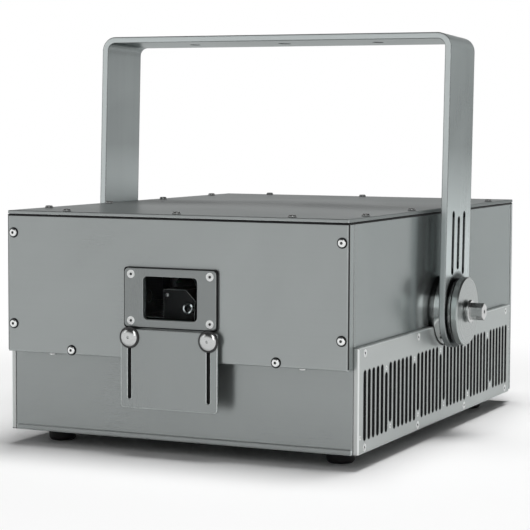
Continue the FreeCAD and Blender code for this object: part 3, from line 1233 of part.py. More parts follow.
def key():
    """Flat key in its off position: blade, neck and a round bow with a hole."""
    z = Z_BASE + KEY_RISE
    face = Y_BACK + KEY_COLLAR_LENGTH
    half = KEY_BLADE_THICKNESS / 2
    wide = KEY_BLADE_WIDTH / 2
    bow_y = face + KEY_NECK + KEY_BOW_RADIUS
    blade = block(KEY_X - half, KEY_X + half, face - KEY_BLADE_DEPTH, bow_y, z - wide, z + wide)
    bow = rod(V(KEY_X - half, bow_y, z), AXIS_X, KEY_BOW_RADIUS, KEY_BLADE_THICKNESS)
    hole = rod(V(KEY_X - half, bow_y, z), AXIS_X, KEY_BOW_HOLE_RADIUS, KEY_BLADE_THICKNESS)
    return blade.fuse(bow).cut(hole)


def all_nodes():
    """Every sub-part by its node name."""
    right_shell = side_shell_right()
    right_vent = vent_panel()
    right_filter = dust_filter()
    right_bolt = clamp_bolt()
    first_axis, second_axis = scanner_axes()
    front_fan, rear_fan = fan_places()
    nodes = {
        "base_tray": base_tray(),
        "optical_bench": optical_bench(),
        "side_shell_left": mirrored(right_shell),
        "side_shell_right": right_shell,
        "top_cover": top_cover(),
        "top_seal": top_seal(),
        "front_panel": front_panel(),
        "rear_panel": rear_panel(),
        "window_bezel": window_bezel(),
        "window_gasket": window_gasket(),
        "window_glass": window_glass(),
        "shutter_plate": shutter_plate(),
        "shutter_standoffs": shutter_standoffs(),
        "thumbscrew_left": thumbscrew(-1),
        "thumbscrew_right": thumbscrew(1),
        "yoke": yoke(),
        "pivot_bosses": both_sides(pivot_ring(X_SIDE, BOSS_LENGTH, HUB_RADIUS)),
        "yoke_spacers": both_sides(pivot_ring(X_VENT, SPACER_LENGTH, HUB_RADIUS)),
        "friction_washers": both_sides(pivot_ring(X_YOKE_OUT, FRICTION_LENGTH, FRICTION_RADIUS)),
        "clamp_discs": both_sides(clamp_disc()),
        "spring_washers": both_sides(pivot_ring(X_DISC_OUT, SPRING_WASHER_LENGTH, SPRING_WASHER_RADIUS)),
        "clamp_bolt_left": mirrored(right_bolt),
        "clamp_bolt_right": right_bolt,
        "pivot_blocks": both_sides(pivot_block()),
        "vent_panel_left": mirrored(right_vent),
        "vent_panel_right": right_vent,
        "dust_filter_left": mirrored(right_filter),
        "dust_filter_right": right_filter,
        "front_screws": front_screws(),
        "housing_screws": housing_screws(),
        "flush_screws": flush_screws(),
        "filter_screws": filter_screws(),
        "rubber_feet": rubber_feet(),
        "fan_frames": fan_frames(),
        "fan_rotor_front_left": fan_rotor(-1, front_fan),
        "fan_rotor_front_right": fan_rotor(1, front_fan),
        "fan_rotor_rear_left": fan_rotor(-1, rear_fan),
        "fan_rotor_rear_right": fan_rotor(1, rear_fan),
        "heat_sink": heat_sink(),
        "power_supply": power_supply(),
        "board_standoffs": board_standoffs(),
        "red_laser_module": laser_module(0),
        "green_laser_module": laser_module(1),
        "blue_laser_module": laser_module(2),
        "mirror_mounts": mirror_mounts(),
        "combining_mirrors": combining_mirrors(),
        "scanner_block": scanner_block(),
        "scanner_motors": scanner_motors(),
        "scanner_mirror_x": scanner_mirror(first_axis, -AXIS_Z, SCANNER_MIRROR_TURN),
        "scanner_mirror_y": scanner_mirror(second_axis, AXIS_X, SCANNER_MIRROR_TURN),
        "scanner_clamp_screw": clamp_screw(),
        "mains_inlet": mains_inlet(),
        "power_rocker": power_rocker(),
        "data_sockets": data_sockets(),
        "signal_sockets": signal_sockets(),
        "key_switch": key_switch(),
        "key": key(),
    }
    for name, (x, y, z, width, length) in board_places().items():
        nodes[name] = board(x, y, z + STANDOFF_HEIGHT, width, length)
    return nodes


os.makedirs("parts", exist_ok=True)
for node_name, node_shape in all_nodes().items():
    node_shape.exportStep("parts/" + node_name + ".step")
    box = node_shape.BoundBox
    print(f"{node_name}: {len(node_shape.Solids)} solids, valid {node_shape.isValid()}, "
          f"{box.XLength:.1f} x {box.YLength:.1f} x {box.ZLength:.1f}")
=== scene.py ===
import math
from functools import cache

import bmesh
import bpy
from bpy.props import FloatProperty, FloatVectorProperty, IntProperty, PointerProperty
from mathutils import Matrix, Vector, noise


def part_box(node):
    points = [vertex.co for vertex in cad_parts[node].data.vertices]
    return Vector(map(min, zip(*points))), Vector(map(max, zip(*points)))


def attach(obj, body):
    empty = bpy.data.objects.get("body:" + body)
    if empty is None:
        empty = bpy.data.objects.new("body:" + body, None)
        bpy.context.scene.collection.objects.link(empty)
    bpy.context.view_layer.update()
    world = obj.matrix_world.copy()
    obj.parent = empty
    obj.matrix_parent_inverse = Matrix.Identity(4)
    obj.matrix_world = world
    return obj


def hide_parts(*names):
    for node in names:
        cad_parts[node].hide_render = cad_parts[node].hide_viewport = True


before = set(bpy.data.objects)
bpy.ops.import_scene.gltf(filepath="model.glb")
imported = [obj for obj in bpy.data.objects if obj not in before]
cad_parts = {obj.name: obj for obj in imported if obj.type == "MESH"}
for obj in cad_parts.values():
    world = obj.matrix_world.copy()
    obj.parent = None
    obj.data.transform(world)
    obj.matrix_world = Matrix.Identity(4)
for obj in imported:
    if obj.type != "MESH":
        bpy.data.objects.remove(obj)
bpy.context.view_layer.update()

bl_info = {
    "name": "Laser show projector",
    "version": (1, 0, 0),
    "blender": (4, 5, 0),
    "location": "3D View > Sidebar > Projector",
    "description": "Dresses the packed projector with turned pieces, satin metal finishes and a studio",
    "category": "Object",
}

AXIS_X = Vector((1, 0, 0))
AXIS_Y = Vector((0, 1, 0))
AXIS_Z = Vector((0, 0, 1))
SIDES = {-1: "left", 1: "right"}

# Places across and above the floor of the front screws, on either side
FRONT_SCREWS = ((0.164, 0.115), (0.164, 0.1995), (0.1025, 0.093))

# One slot in this many is short at its top, and the next at its bottom
SHORT_EVERY = 7

FOAM_LUMPS_PER_METRE = 240
DOME_RINGS = 10

# Shares, tints and depths that several finishes have in common
SHEET_METALLIC = 0.78
# Share of the colour left where shade is painted into recesses
PAINTED_SHADE_SHARE = 0.02
GLANCING_TINT = (0.94, 1.0, 0.995)
GRAIN_DEPTH = 0.00003
MARK_DEPTH = 0.00002

# Studio: distances between which the floor fades into white, and heights between which the backdrop ends
FLOOR_RADIUS = 6.0
FLOOR_FADE = (0.36, 0.8)
BACKDROP_EDGE = (0.12, 0.5)
LAMP_TARGET = Vector((0, 0, 0.15))
WHITE = (1.0, 1.0, 1.0, 1.0)


# Kinds of settings
def length(name, description, default):
    """Setting in metres."""
    return FloatProperty(name=name, description=description, unit="LENGTH", default=default)


def fraction(name, description, default):
    """Setting from 0 to 1."""
    return FloatProperty(name=name, description=description, subtype="FACTOR", min=0, max=1, default=default)


def angle(name, description, degrees):
    """Setting of an angle, given in degrees."""
    return FloatProperty(name=name, description=description, subtype="ANGLE", default=math.radians(degrees))


def tint(name, description, default):
    """Setting of a colour."""
    return FloatVectorProperty(name=name, description=description, subtype="COLOR", size=3, min=0, max=1,
                               default=default)


# Sizes and colours that a user would change
class ProjectorFinish(bpy.types.PropertyGroup):
    """Colours and grain of the projector's surfaces."""
    housing: tint("Housing", "Brushed sheet of the housing", (0.325, 0.346, 0.344))
    vents: tint("Vent panels", "Satin sheet of the vent panels", (0.53, 0.547, 0.541))
    strap: tint("Yoke", "Satin strap of the yoke", (0.28, 0.302, 0.302))
    hubs: tint("Hubs", "Satin turned clamp discs", (0.34, 0.365, 0.36))
    steel: tint("Bright steel", "Polished bushes, bolts and screws", (0.80, 0.815, 0.81))
    black: tint("Black parts", "Rubber, plastic and anodised parts", (0.005, 0.005, 0.0055))
    board: tint("Boards", "Solder mask of the circuit boards", (0.02, 0.16, 0.07))
    sheet_roughness: fraction("Sheet roughness", "Roughness of the brushed sheet", 0.3)
    brushing: fraction("Brushing", "How far the brushed sheet smears what it reflects", 0.75)
    grain: fraction("Grain", "Strength of the brushed grain", 0.1)
    edge_softness: length("Edge softness", "Radius that the light sees on the sheets' edges", 0.001)
    # Edge shine is painted light: a painted highlight on the sheets' edges, or painted shade where a finish
    # asks for less than one
    painted_edge_light: FloatProperty(
        name="Edge shine", description="How much brighter the worn edges are", min=1, max=4, default=1.9)


class ProjectorDetail(bpy.types.PropertyGroup):
    """Sizes of the turned and soft pieces."""
    turned_steps: IntProperty(
        name="Turned steps", description="Facets round each turned piece", min=24, max=256, default=144)
    chamfer: length("Edge break", "Chamfer on turned edges", 0.0004)
    disc_chamfer: length("Disc chamfer", "Chamfer on the clamp discs", 0.0012)
    relief: length("Relief", "Gap on each side of a turned ring, so that it turns freely", 0.00004)
    # The rubber rim round the bezel stands for its outline of shade: painted shade
    rim_width: length("Rim width", "Rubber that shows round the window bezel", 0.0009)
    rim_height: length("Rim height", "Height of the rubber round the bezel", 0.0026)
    washer_height: length("Washer height", "Thickness of the screw washers", 0.0004)
    foam_swell: length("Foam swell", "Unevenness of the filter mats", 0.0005)


class ProjectorStage(bpy.types.PropertyGroup):
    """Camera and studio."""
    lens: FloatProperty(
        name="Lens", description="Focal length of the camera", subtype="DISTANCE_CAMERA", default=128.81)
    camera_place: FloatVectorProperty(
        name="Camera", description="Place of the camera", subtype="TRANSLATION", size=3,
        default=(0.77048, -1.73951, 0.303275))
    camera_azimuth: angle("Azimuth", "Turn of the camera round the projector", 24.3226)
    camera_elevation: angle("Elevation", "Height of the camera as an angle", 4.3394)
    camera_roll: angle("Roll", "Lean of the camera", 0.2502)
    floor: tint("Floor", "Pale floor", (0.9, 0.9, 0.9))
    ceiling_light: fraction("Ceiling", "Light from the ceiling against the white backdrop", 0.05)
    fill_share: fraction("Fill share", "Share of the room's light that fills the shadows", 0.25)


# Nodes
def wire(tree, value, socket):
    """Socket fed by another socket, or set to a value."""
    if isinstance(value, bpy.types.NodeSocket):
        tree.links.new(value, socket)
    else:
        socket.default_value = value


def add_node(tree, kind, values=None, **settings):
    """Shader node with its settings made, then its inputs wired or set."""
    node = tree.nodes.new("ShaderNode" + kind)
    for name, value in settings.items():
        setattr(node, name, value)
    for socket, value in (values or {}).items():
        wire(tree, value, node.inputs[socket])
    return node


def maths(tree, operation, *operands):
    """Math node's result; each operand is a socket or a number."""
    return add_node(tree, "Math", dict(enumerate(operands)), operation=operation).outputs[0]


def ranged(tree, value, from_low, from_high, low=0.0, high=1.0, smooth=False):
    """Value mapped from one range to another and kept inside it."""
    limits = {"Value": value, "From Min": from_low, "From Max": from_high, "To Min": low, "To Max": high}
    kind = "SMOOTHSTEP" if smooth else "LINEAR"
    return add_node(tree, "MapRange", limits, interpolation_type=kind).outputs["Result"]


def noise_field(tree, vector, scale, detail=2.0, rough=0.5):
    """Noise texture's value on a vector."""
    values = {"Vector": vector, "Scale": scale, "Detail": detail, "Roughness": rough}
    return add_node(tree, "TexNoise", values).outputs["Fac"]


def seen_rays(tree):
    """White for what the camera sees, straight or in metal and glass; black for light that fills."""
    path = add_node(tree, "LightPath").outputs
    seen = maths(tree, "MAXIMUM", path["Is Camera Ray"], path["Is Glossy Ray"])
    return maths(tree, "MAXIMUM", seen, path["Is Transmission Ray"])


# Shared node groups
def new_group(name, numbers, outputs):
    """Group on a vector and named numbers; returns it, what it is given and what it makes."""
    group = bpy.data.node_groups.new(name, "ShaderNodeTree")
    new_socket = group.interface.new_socket
    new_socket("Vector", in_out="INPUT", socket_type="NodeSocketVector")
    for label, default in numbers.items():
        new_socket(label, in_out="INPUT", socket_type="NodeSocketFloat").default_value = default
    for label in outputs:
        new_socket(label, in_out="OUTPUT", socket_type="NodeSocketFloat")
    given = group.nodes.new("NodeGroupInput").outputs
    made = group.nodes.new("NodeGroupOutput").inputs
    return group, given, made


@cache
def sheet_grain():
    """Brushed grain: long soft streaks and fine scratches on a stretched vector."""
    group, given, made = new_group("Sheet grain", {}, ["Streak", "Scratch"])
    wire(group, noise_field(group, given["Vector"], 1.0, 3.0, 0.6), made["Streak"])
    wire(group, noise_field(group, given["Vector"], 7.0, 4.0, 0.7), made["Scratch"])
    return group


@cache
def smudges():
    """Faint cloudy marks left by handling."""
    group, given, made = new_group("Handling marks", {"Size": 7.0}, ["Mask"])
    values = {"Vector": given["Vector"], "Scale": given["Size"], "Detail": 3.0, "Distortion": 0.6}
    cloud = add_node(group, "TexNoise", values).outputs["Fac"]
    wire(group, ranged(group, cloud, 0.38, 0.68), made["Mask"])
    return group


@cache
def lathe_rings():
    """Fine uneven rings round the X axis of a centred vector, as a lathe leaves."""
    group, given, made = new_group("Turned rings", {"Rings per metre": 900.0}, ["Ring"])
    parts = add_node(group, "SeparateXYZ", {0: given["Vector"]}).outputs
    across = maths(group, "POWER", parts["Y"], 2.0)
    upward = maths(group, "POWER", parts["Z"], 2.0)
    radius = maths(group, "SQRT", maths(group, "ADD", across, upward))
    count = maths(group, "MULTIPLY", radius, given["Rings per metre"])
    field = add_node(group, "TexNoise", {"W": count, "Scale": 1.0, "Detail": 3.0}, noise_dimensions="1D")
    wire(group, field.outputs["Fac"], made["Ring"])
    return group


@cache
def pebbles():
    """Fine pebbled skin of moulded plastic, rubber and foam."""
    group, given, made = new_group("Moulded skin", {"Cells per metre": 1500.0}, ["Height", "Mask"])
    values = {"Vector": given["Vector"], "Scale": given["Cells per metre"]}
    cells = add_node(group, "TexVoronoi", values, feature="SMOOTH_F1")
    wire(group, cells.outputs["Distance"], made["Height"])
    wire(group, noise_field(group, given["Vector"], 60.0, 3.0), made["Mask"])
    return group


# Material building blocks
class Finish:
    """One material with its Principled shader and the helpers to wire it."""

    def __init__(self, name, metallic):
        self.material = bpy.data.materials.new(name)
        self.material.use_nodes = True
        self.tree = self.material.node_tree
        self.shader = self.tree.nodes["Principled BSDF"]
        self.surface = self.node("TexCoord").outputs
        self.feed("Metallic", metallic)

    def node(self, kind, values=None, **settings):
        """New node of this material."""
        return add_node(self.tree, kind, values, **settings)

    def feed(self, socket, value):
        """Shader's socket wired or set."""
        wire(self.tree, value, self.shader.inputs[socket])

    def vector(self, scale=(1, 1, 1), shift=(0, 0, 0), turn=0.0):
        """Object coordinates shifted, turned about Z and scaled."""
        moved = self.node("Mapping", {"Vector": self.surface["Object"], "Location": shift}).outputs[0]
        spun = self.node("Mapping", {"Vector": moved, "Rotation": (0, 0, turn)}).outputs[0]
        return self.node("Mapping", {"Vector": spun, "Scale": scale}).outputs[0]

    def group(self, maker, vector, numbers=None):
        """Outputs of a shared group placed in this material."""
        return self.node("Group", {"Vector": vector, **(numbers or {})}, node_tree=maker()).outputs

    def mixed(self, first, second, share):
        """Two values added, the first with the given share."""
        rest = maths(self.tree, "MULTIPLY", second, 1 - share)
        return maths(self.tree, "MULTIPLY_ADD", first, share, rest)

    def blend(self, mask, first, second):
        """Colour mixed by a mask; each colour is a socket or numbers."""
        node = self.node("Mix", {"Factor": mask}, data_type="RGBA")
        sockets = [socket for socket in node.inputs if socket.type == "RGBA"]
        for socket, colour in zip(sockets, (first, second)):
            wire(self.tree, (*colour, 1.0) if isinstance(colour, tuple) else colour, socket)
        return next(socket for socket in node.outputs if socket.type == "RGBA")

    def tone(self, mask, dark, light):
        """Base colour mixed by a mask."""
        self.feed("Base Color", self.blend(mask, dark, light))

    def rounded(self, radius):
        """Normal that the light would see on edges of a radius."""
        return self.node("Bevel", {"Radius": radius}, samples=8).outputs[0]

    def edge_mask(self, rounded):
        """White on edges, from how far the rounded normal leans."""
        plain = self.node("NewGeometry").outputs["Normal"]
        lean = self.node("VectorMath", {0: plain, 1: rounded}, operation="DOT_PRODUCT")
        return ranged(self.tree, lean.outputs["Value"], 0.97, 0.8)

    def facing(self):
        """How far a surface faces along its piece's X, Y and Z, either way."""
        size = self.node("VectorMath", {0: self.surface["Normal"]}, operation="ABSOLUTE")
        return self.node("SeparateXYZ", {0: size.outputs["Vector"]}).outputs

    def folds(self):
        """White where a surface curves away from the three axes."""
        facing = self.facing()
        largest = maths(self.tree, "MAXIMUM", facing["X"], facing["Y"])
        largest = maths(self.tree, "MAXIMUM", largest, facing["Z"])
        return ranged(self.tree, largest, 0.995, 0.9)

    def low_down(self, low, high):
        """White at a low height, fading out at a higher one."""
        parts = self.node("SeparateXYZ", {0: self.surface["Object"]}).outputs
        return ranged(self.tree, parts["Z"], low, high, 1.0, 0.0)

    def rims(self):
        """White on what faces away from X, as the rim of a disc does."""
        return ranged(self.tree, self.facing()["X"], 0.9, 0.3)

    def cut_edges(self):
        """White on the faces across Y, where a strap is cut."""
        return ranged(self.tree, self.facing()["Y"], 0.75, 0.95)

    def painted_shade(self, reach, low=0.5, high=0.92):
        """Mask for painted shade: dark in sockets and narrow gaps, from ambient occlusion, white on open
        faces.
        """
        node = self.node("AmbientOcclusion", {"Distance": reach}, samples=8)
        return ranged(self.tree, node.outputs["AO"], low, high)

    def rough(self, mask, low, high):
        """Roughness spread by a mask."""
        self.feed("Roughness", ranged(self.tree, mask, 0.0, 1.0, low, high))

    def bump(self, height, strength, distance, rounded=None):
        """Bump on the shader's normal, over rounded edges where they are given."""
        values = {"Height": height, "Strength": strength, "Distance": distance}
        if rounded:
            values["Normal"] = rounded
        self.feed("Normal", self.node("Bump", values).outputs[0])


def shade(colour, factor):
    """Colour made darker or lighter."""
    return tuple(min(1.0, channel * factor) for channel in colour)


# Kinds of material
def brushed(name, colour, roughness, look, stretch, smear_along, glancing=0.65, edge=1.0, painted_shade=None,
            round_share=1.0, contrast=0.05, fold_highlight=0.0, cut=0.0, streaky=0.25, low_highlight=None):
    """Brushed or satin sheet; its edges, folds, cut faces and lower part can be painted lighter or darker as
    painted highlight and painted shade, and its recesses darkened as painted shade.
    """
    finish = Finish(name, SHEET_METALLIC)
    streaks = finish.group(sheet_grain, finish.vector(stretch))
    marks = finish.group(smudges, finish.vector(), {"Size": 6.0})["Mask"]
    mask = finish.mixed(streaks["Streak"], marks, streaky)
    sheet = finish.blend(mask, shade(colour, 1 - contrast), shade(colour, 1 + contrast))
    rounded = finish.rounded(look.edge_softness * round_share)
    # Painted light: the lower part painted lighter, fading out higher up
    if low_highlight:
        highlight_height, plain_height, gain = low_highlight
        sheet = finish.blend(finish.low_down(highlight_height, plain_height), sheet, shade(colour, gain))
    # Painted highlight on folds and curved edges
    if fold_highlight:
        sheet = finish.blend(finish.folds(), sheet, shade(colour, fold_highlight))
    # Painted highlight on the faces across Y, the strap's cut faces
    if cut:
        sheet = finish.blend(finish.cut_edges(), sheet, shade(colour, cut))
    # Painted highlight or painted shade on the edges, from the rounded normal
    sheet = finish.blend(finish.edge_mask(rounded), sheet, shade(colour, look.painted_edge_light * edge))
    # Painted shade in recesses and slot walls, from ambient occlusion
    if painted_shade:
        sheet = finish.blend(finish.painted_shade(*painted_shade), shade(colour, PAINTED_SHADE_SHARE), sheet)
    finish.feed("Base Color", sheet)
    finish.rough(finish.mixed(streaks["Scratch"], marks, 0.6), roughness * 0.8, roughness * 1.2)
    finish.bump(streaks["Scratch"], look.grain, GRAIN_DEPTH, rounded)
    if smear_along:
        finish.feed("Anisotropic", look.brushing)
        finish.feed("Tangent", finish.node("CombineXYZ", dict(enumerate(smear_along))).outputs[0])
    finish.feed("Specular Tint", (*shade(GLANCING_TINT, glancing), 1.0))
    return finish.material


def turned_metal(name, colour, roughness, centre, turn=0.0, rings=900.0, painted_shade_reach=0.0, rim=1.0):
    """Lathe-turned metal with fine rings round an axis along X, or along Y after a quarter turn; its rims can
    be painted lighter as painted highlight and its recesses darkened as painted shade.
    """
    finish = Finish(name, 1.0)
    vector = finish.vector(shift=[-value for value in centre], turn=turn)
    ring = finish.group(lathe_rings, vector, {"Rings per metre": rings})["Ring"]
    metal = finish.blend(ring, shade(colour, 0.92), shade(colour, 1.06))
    # Painted highlight on the rims
    if rim > 1:
        metal = finish.blend(finish.rims(), metal, shade(colour, rim))
    # Painted shade in the recesses, from ambient occlusion
    if painted_shade_reach:
        metal = finish.blend(finish.painted_shade(painted_shade_reach, 0.55, 0.9), shade(colour, PAINTED_SHADE_SHARE), metal)
    finish.feed("Base Color", metal)
    finish.rough(ring, roughness * 0.75, roughness * 1.3)
    finish.bump(ring, 0.2, GRAIN_DEPTH)
    return finish.material


def plated(name, colour, roughness, metallic=1.0):
    """Plated metal with slight unevenness and painted shade in its sockets."""
    finish = Finish(name, metallic)
    marks = finish.group(smudges, finish.vector(), {"Size": 420.0})["Mask"]
    metal = finish.blend(marks, shade(colour, 0.94), shade(colour, 1.04))
    # Painted shade in the sockets, from ambient occlusion
    finish.tone(finish.painted_shade(0.002), shade(colour, 0.05), metal)
    finish.rough(marks, roughness * 0.7, roughness * 1.4)
    finish.bump(marks, 0.15, MARK_DEPTH)
    return finish.material


def moulded(name, colour, roughness, cells=1500.0, depth=0.00006, gloss=0.3):
    """Moulded plastic, rubber or foam with a pebbled skin."""
    finish = Finish(name, 0.0)
    skin = finish.group(pebbles, finish.vector(), {"Cells per metre": cells})
    finish.tone(skin["Mask"], shade(colour, 0.7), shade(colour, 2.0))
    finish.rough(skin["Mask"], roughness * 0.85, min(1.0, roughness * 1.15))
    finish.bump(skin["Height"], 0.5, depth)
    finish.feed("Specular IOR Level", gloss)
    return finish.material


def anodised(name, colour, look):
    """Black anodised block whose edges are painted bright, a painted highlight."""
    finish = Finish(name, 0.0)
    skin = finish.group(pebbles, finish.vector(), {"Cells per metre": 4000.0})
    rounded = finish.rounded(look.edge_softness * 0.9)
    coat = finish.blend(skin["Mask"], shade(colour, 0.6), colour)
    # Painted highlight on the edges
    finish.tone(finish.edge_mask(rounded), coat, shade(look.steel, 1.1))
    finish.rough(skin["Mask"], 0.35, 0.5)
    finish.bump(skin["Height"], 0.3, MARK_DEPTH, rounded)
    finish.feed("Specular IOR Level", 0.2)
    return finish.material


def marked(name, metallic, size, dull, clear, roughest, smoothest=0.0):
    """Glass or mirror with the lightest haze; returns the finish."""
    finish = Finish(name, metallic)
    marks = finish.group(smudges, finish.vector(), {"Size": size})["Mask"]
    finish.tone(marks, dull, clear)
    finish.rough(marks, smoothest, roughest)
    finish.bump(marks, 0.02, MARK_DEPTH)
    return finish


def window_glass(name):
    """Pane with an anti-reflection coat."""
    finish = marked(name, 0.0, 30.0, (0.84, 0.88, 0.89), (0.90, 0.93, 0.93), 0.03)
    finish.feed("Transmission Weight", 1.0)
    finish.feed("IOR", 1.07)
    return finish.material


def mirror_coat(name):
    """Front-surface mirror with a faint tint."""
    return marked(name, 1.0, 90.0, (0.80, 0.83, 0.86), (0.88, 0.89, 0.90), 0.05, 0.01).material


def solder_mask(name, colour):
    """Circuit board with traces under its lacquer."""
    finish = Finish(name, 0.0)
    values = {"Vector": finish.vector(), "Scale": 120.0, "Mortar Size": 0.06}
    traces = finish.node("TexBrick", values).outputs["Fac"]
    finish.tone(traces, colour, shade(colour, 2.6))
    skin = finish.group(pebbles, finish.vector(), {"Cells per metre": 400.0})
    finish.rough(skin["Mask"], 0.3, 0.5)
    finish.bump(traces, 0.3, 0.00005)
    return finish.material


@cache
def materials():
    """Every finish by name, from the panel's colours."""
    look = bpy.context.scene.projector_finish
    housing = tuple(look.housing)
    steel = tuple(look.steel)
    black = tuple(look.black)
    rough = look.sheet_roughness
    pivot = box_of("clamp_discs")[2]
    upright = (0, 0, 1)
    level_grain = (4, 4, 900)
    upright_grain = (900, 4, 4)
    finishes = dict(
        # Edge values above one paint a sheet's edges brighter as painted highlight; values below one paint
        # them darker as painted shade
        sheet=brushed("Brushed grey sheet", shade(housing, 0.95), rough, look, level_grain, upright,
                      edge=1.2, round_share=2.0, contrast=0.07),
        # Painted light: the front sheet is a lighter copy of the housing's sheet
        front=brushed("Brushed front sheet", shade(housing, 1.09), rough, look, level_grain, upright,
                      edge=0.95, round_share=3.0, contrast=0.08),
        side=brushed("Brushed side sheet", housing, rough * 0.75, look, level_grain, upright, contrast=0.06),
        cover=brushed("Brushed cover", housing, rough * 1.1, look, (4, 900, 4), None, 0.27, edge=1.4),
        bezel=brushed("Satin bezel", shade(housing, 0.78), rough, look, upright_grain, upright),
        # Painted shade darkens the shutter's slot walls, and its edges carry a painted highlight
        shutter=brushed("Satin shutter", shade(housing, 0.95), rough, look, upright_grain, upright,
                        edge=1.6, painted_shade=(0.004, 0.5, 0.9), round_share=1.5),
        # Painted light on the vents: edges painted dark as painted shade so that the slots read wider, and
        # curved outer edges painted bright as painted highlight
        vent=brushed("Satin vent sheet", tuple(look.vents), rough * 1.1, look, (4, 4, 700), upright,
                     edge=0.05, fold_highlight=1.6, round_share=2.2),
        # Painted light on the strap: edges painted darker, bends and cut faces painted brighter, the lower
        # part painted lighter, and slots darkened as painted shade
        strap=brushed("Satin yoke strap", tuple(look.strap), rough, look, (2, 90, 2), None, edge=0.25,
                      painted_shade=(0.008, 0.76, 0.97), round_share=2.2, contrast=0.22, fold_highlight=1.35, cut=1.95,
                      streaky=0.4, low_highlight=(0.19, 0.28, 2.4)),
        # Painted highlight: the hub's rims are painted lighter than its faces
        hub=turned_metal("Satin turned hubs", tuple(look.hubs), 0.27, pivot, rim=1.7),
        bush=turned_metal("Polished bushes", shade(steel, 0.75), 0.16, pivot),
        # Painted shade in the recesses of the bosses and washers
        boss=turned_metal("Polished bosses", shade(steel, 0.7), 0.14, pivot, painted_shade_reach=0.012),
        washer=turned_metal("Polished washers", shade(steel, 0.55), 0.2, pivot, painted_shade_reach=0.004),
        bolt=turned_metal("Bright bolts", shade(steel, 0.65), 0.2, pivot),
        screw=plated("Plated screws", steel, 0.18),
        # The flush screws are almost unmetallic and brighter than the steel, so they show bright wherever
        # they stand: a painted highlight
        flush_screw=plated("Satin flush screws", shade(steel, 1.15), 0.35, 0.1),
        satin_plating=plated("Satin plating", shade(steel, 0.5), 0.3),
        rubber=moulded("Black rubber", black, 0.7),
        nylon=moulded("Black nylon", shade(black, 1.5), 0.3, 2500.0, 0.00002, 0.6),
        plastic=moulded("Black plastic", shade(black, 2.0), 0.42, gloss=0.5),
        anodised=anodised("Black anodised block", shade(black, 0.8), look),
        foam=moulded("Black filter foam", shade(black, 0.5), 0.95, 900.0, 0.0006, 0.1),
        glass=window_glass("Window glass"),
        mirror=mirror_coat("Coated mirrors"),
        board=solder_mask("Green boards", tuple(look.board)),
        supply=brushed("Galvanised supply case", (0.52, 0.54, 0.54), 0.42, look, (60, 60, 60), None),
        alloy=brushed("Milled alloy", (0.56, 0.57, 0.57), 0.38, look, (4, 300, 300), None),
    )
    for word in SIDES.values():
        finishes["knob_" + word] = turned_metal("Polished thumbscrew " + word, shade(steel, 0.68), 0.2,
                                                box_of("thumbscrew_" + word)[2], math.pi / 2, 2500.0)
    return finishes


# Shapes
def box_of(node):
    """Lower corner, upper corner and middle of a CAD node."""
    low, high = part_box(node)
    return low, high, (low + high) / 2


def dress(name, *nodes):
    """CAD nodes take a finish."""
    for node in nodes:
        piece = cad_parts[node]
        if not piece.material_slots:
            piece.data.materials.append(None)
        for slot in piece.material_slots:
            slot.material = materials()[name]


def placed(name, data):
    """New object in the scene, at the origin."""
    item = bpy.data.objects.new(name, data)
    bpy.context.scene.collection.objects.link(item)
    return item


def mesh_object(name, mesh):
    """Bmesh made an object."""
    data = bpy.data.meshes.new(name)
    mesh.to_mesh(data)
    mesh.free()
    return placed(name, data)


def finish_mesh(mesh, name, finish, body, nodes=(), sharp=30.0):
    """Bmesh made a piece that rides on a body and stands for CAD nodes."""
    bmesh.ops.remove_doubles(mesh, verts=mesh.verts, dist=1e-6)
    bmesh.ops.recalc_face_normals(mesh, faces=mesh.faces)
    piece = mesh_object(name, mesh)
    piece.data.shade_smooth()
    piece.data.set_sharp_from_angle(angle=math.radians(sharp))
    piece.data.materials.append(materials()[finish])
    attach(piece, body)
    if nodes:
        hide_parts(*nodes)
    return piece


def lathe(mesh, profile, closed, steps):
    """Profile of (radius, height) points turned round the Z axis; returns the new vertices."""
    first = [mesh.verts.new((radius, 0, height)) for radius, height in profile]
    pairs = list(zip(first, first[1:]))
    if closed:
        pairs.append((first[-1], first[0]))
    edges = [mesh.edges.new(pair) for pair in pairs]
    before = set(mesh.verts) - set(first)
    bmesh.ops.spin(mesh, geom=first + edges, cent=(0, 0, 0), axis=(0, 0, 1), dvec=(0, 0, 0),
                   angle=2 * math.pi, steps=steps, use_merge=True, use_duplicate=False)
    return [vert for vert in mesh.verts if vert not in before]


def aim(mesh, verts, place, axis):
    """Vertices built along +Z moved to a place with +Z along an axis."""
    turn = AXIS_Z.rotation_difference(axis).to_matrix().to_4x4()
    bmesh.ops.transform(mesh, matrix=Matrix.Translation(place) @ turn, verts=verts)


def turned(profile, closed, steps, *places):
    """New mesh with a profile turned at each place, about an axis that points to the front."""
    mesh = bmesh.new()
    for place in places:
        aim(mesh, lathe(mesh, profile, closed, steps), Vector(place), -AXIS_Y)
    return mesh


def block(mesh, centre, size):
    """Box of a size round a centre; returns its vertices."""
    place = Matrix.Translation(centre) @ Matrix.Diagonal((*size, 1))
    return bmesh.ops.create_cube(mesh, size=1.0, matrix=place)["verts"]


def soften(mesh, items, offset, segments=2, affect="EDGES"):
    """Edges or corners rounded off."""
    bmesh.ops.bevel(mesh, geom=items, offset=offset, offset_type="OFFSET", segments=segments, profile=0.5,
                    affect=affect, material=-1)


def verts_in(items):
    """The vertices among mesh items."""
    return [item for item in items if isinstance(item, bmesh.types.BMVert)]


def extruded(mesh, faces):
    """Faces extruded in place; returns the vertices of the new end."""
    return verts_in(bmesh.ops.extrude_face_region(mesh, geom=faces)["geom"])


def ring_profile(inner, outer, depth, chamfer):
    """Closed section of a plain ring with its outer edges broken."""
    return [(inner, 0), (outer - chamfer, 0), (outer, chamfer), (outer, depth - chamfer),
            (outer - chamfer, depth), (inner, depth)]


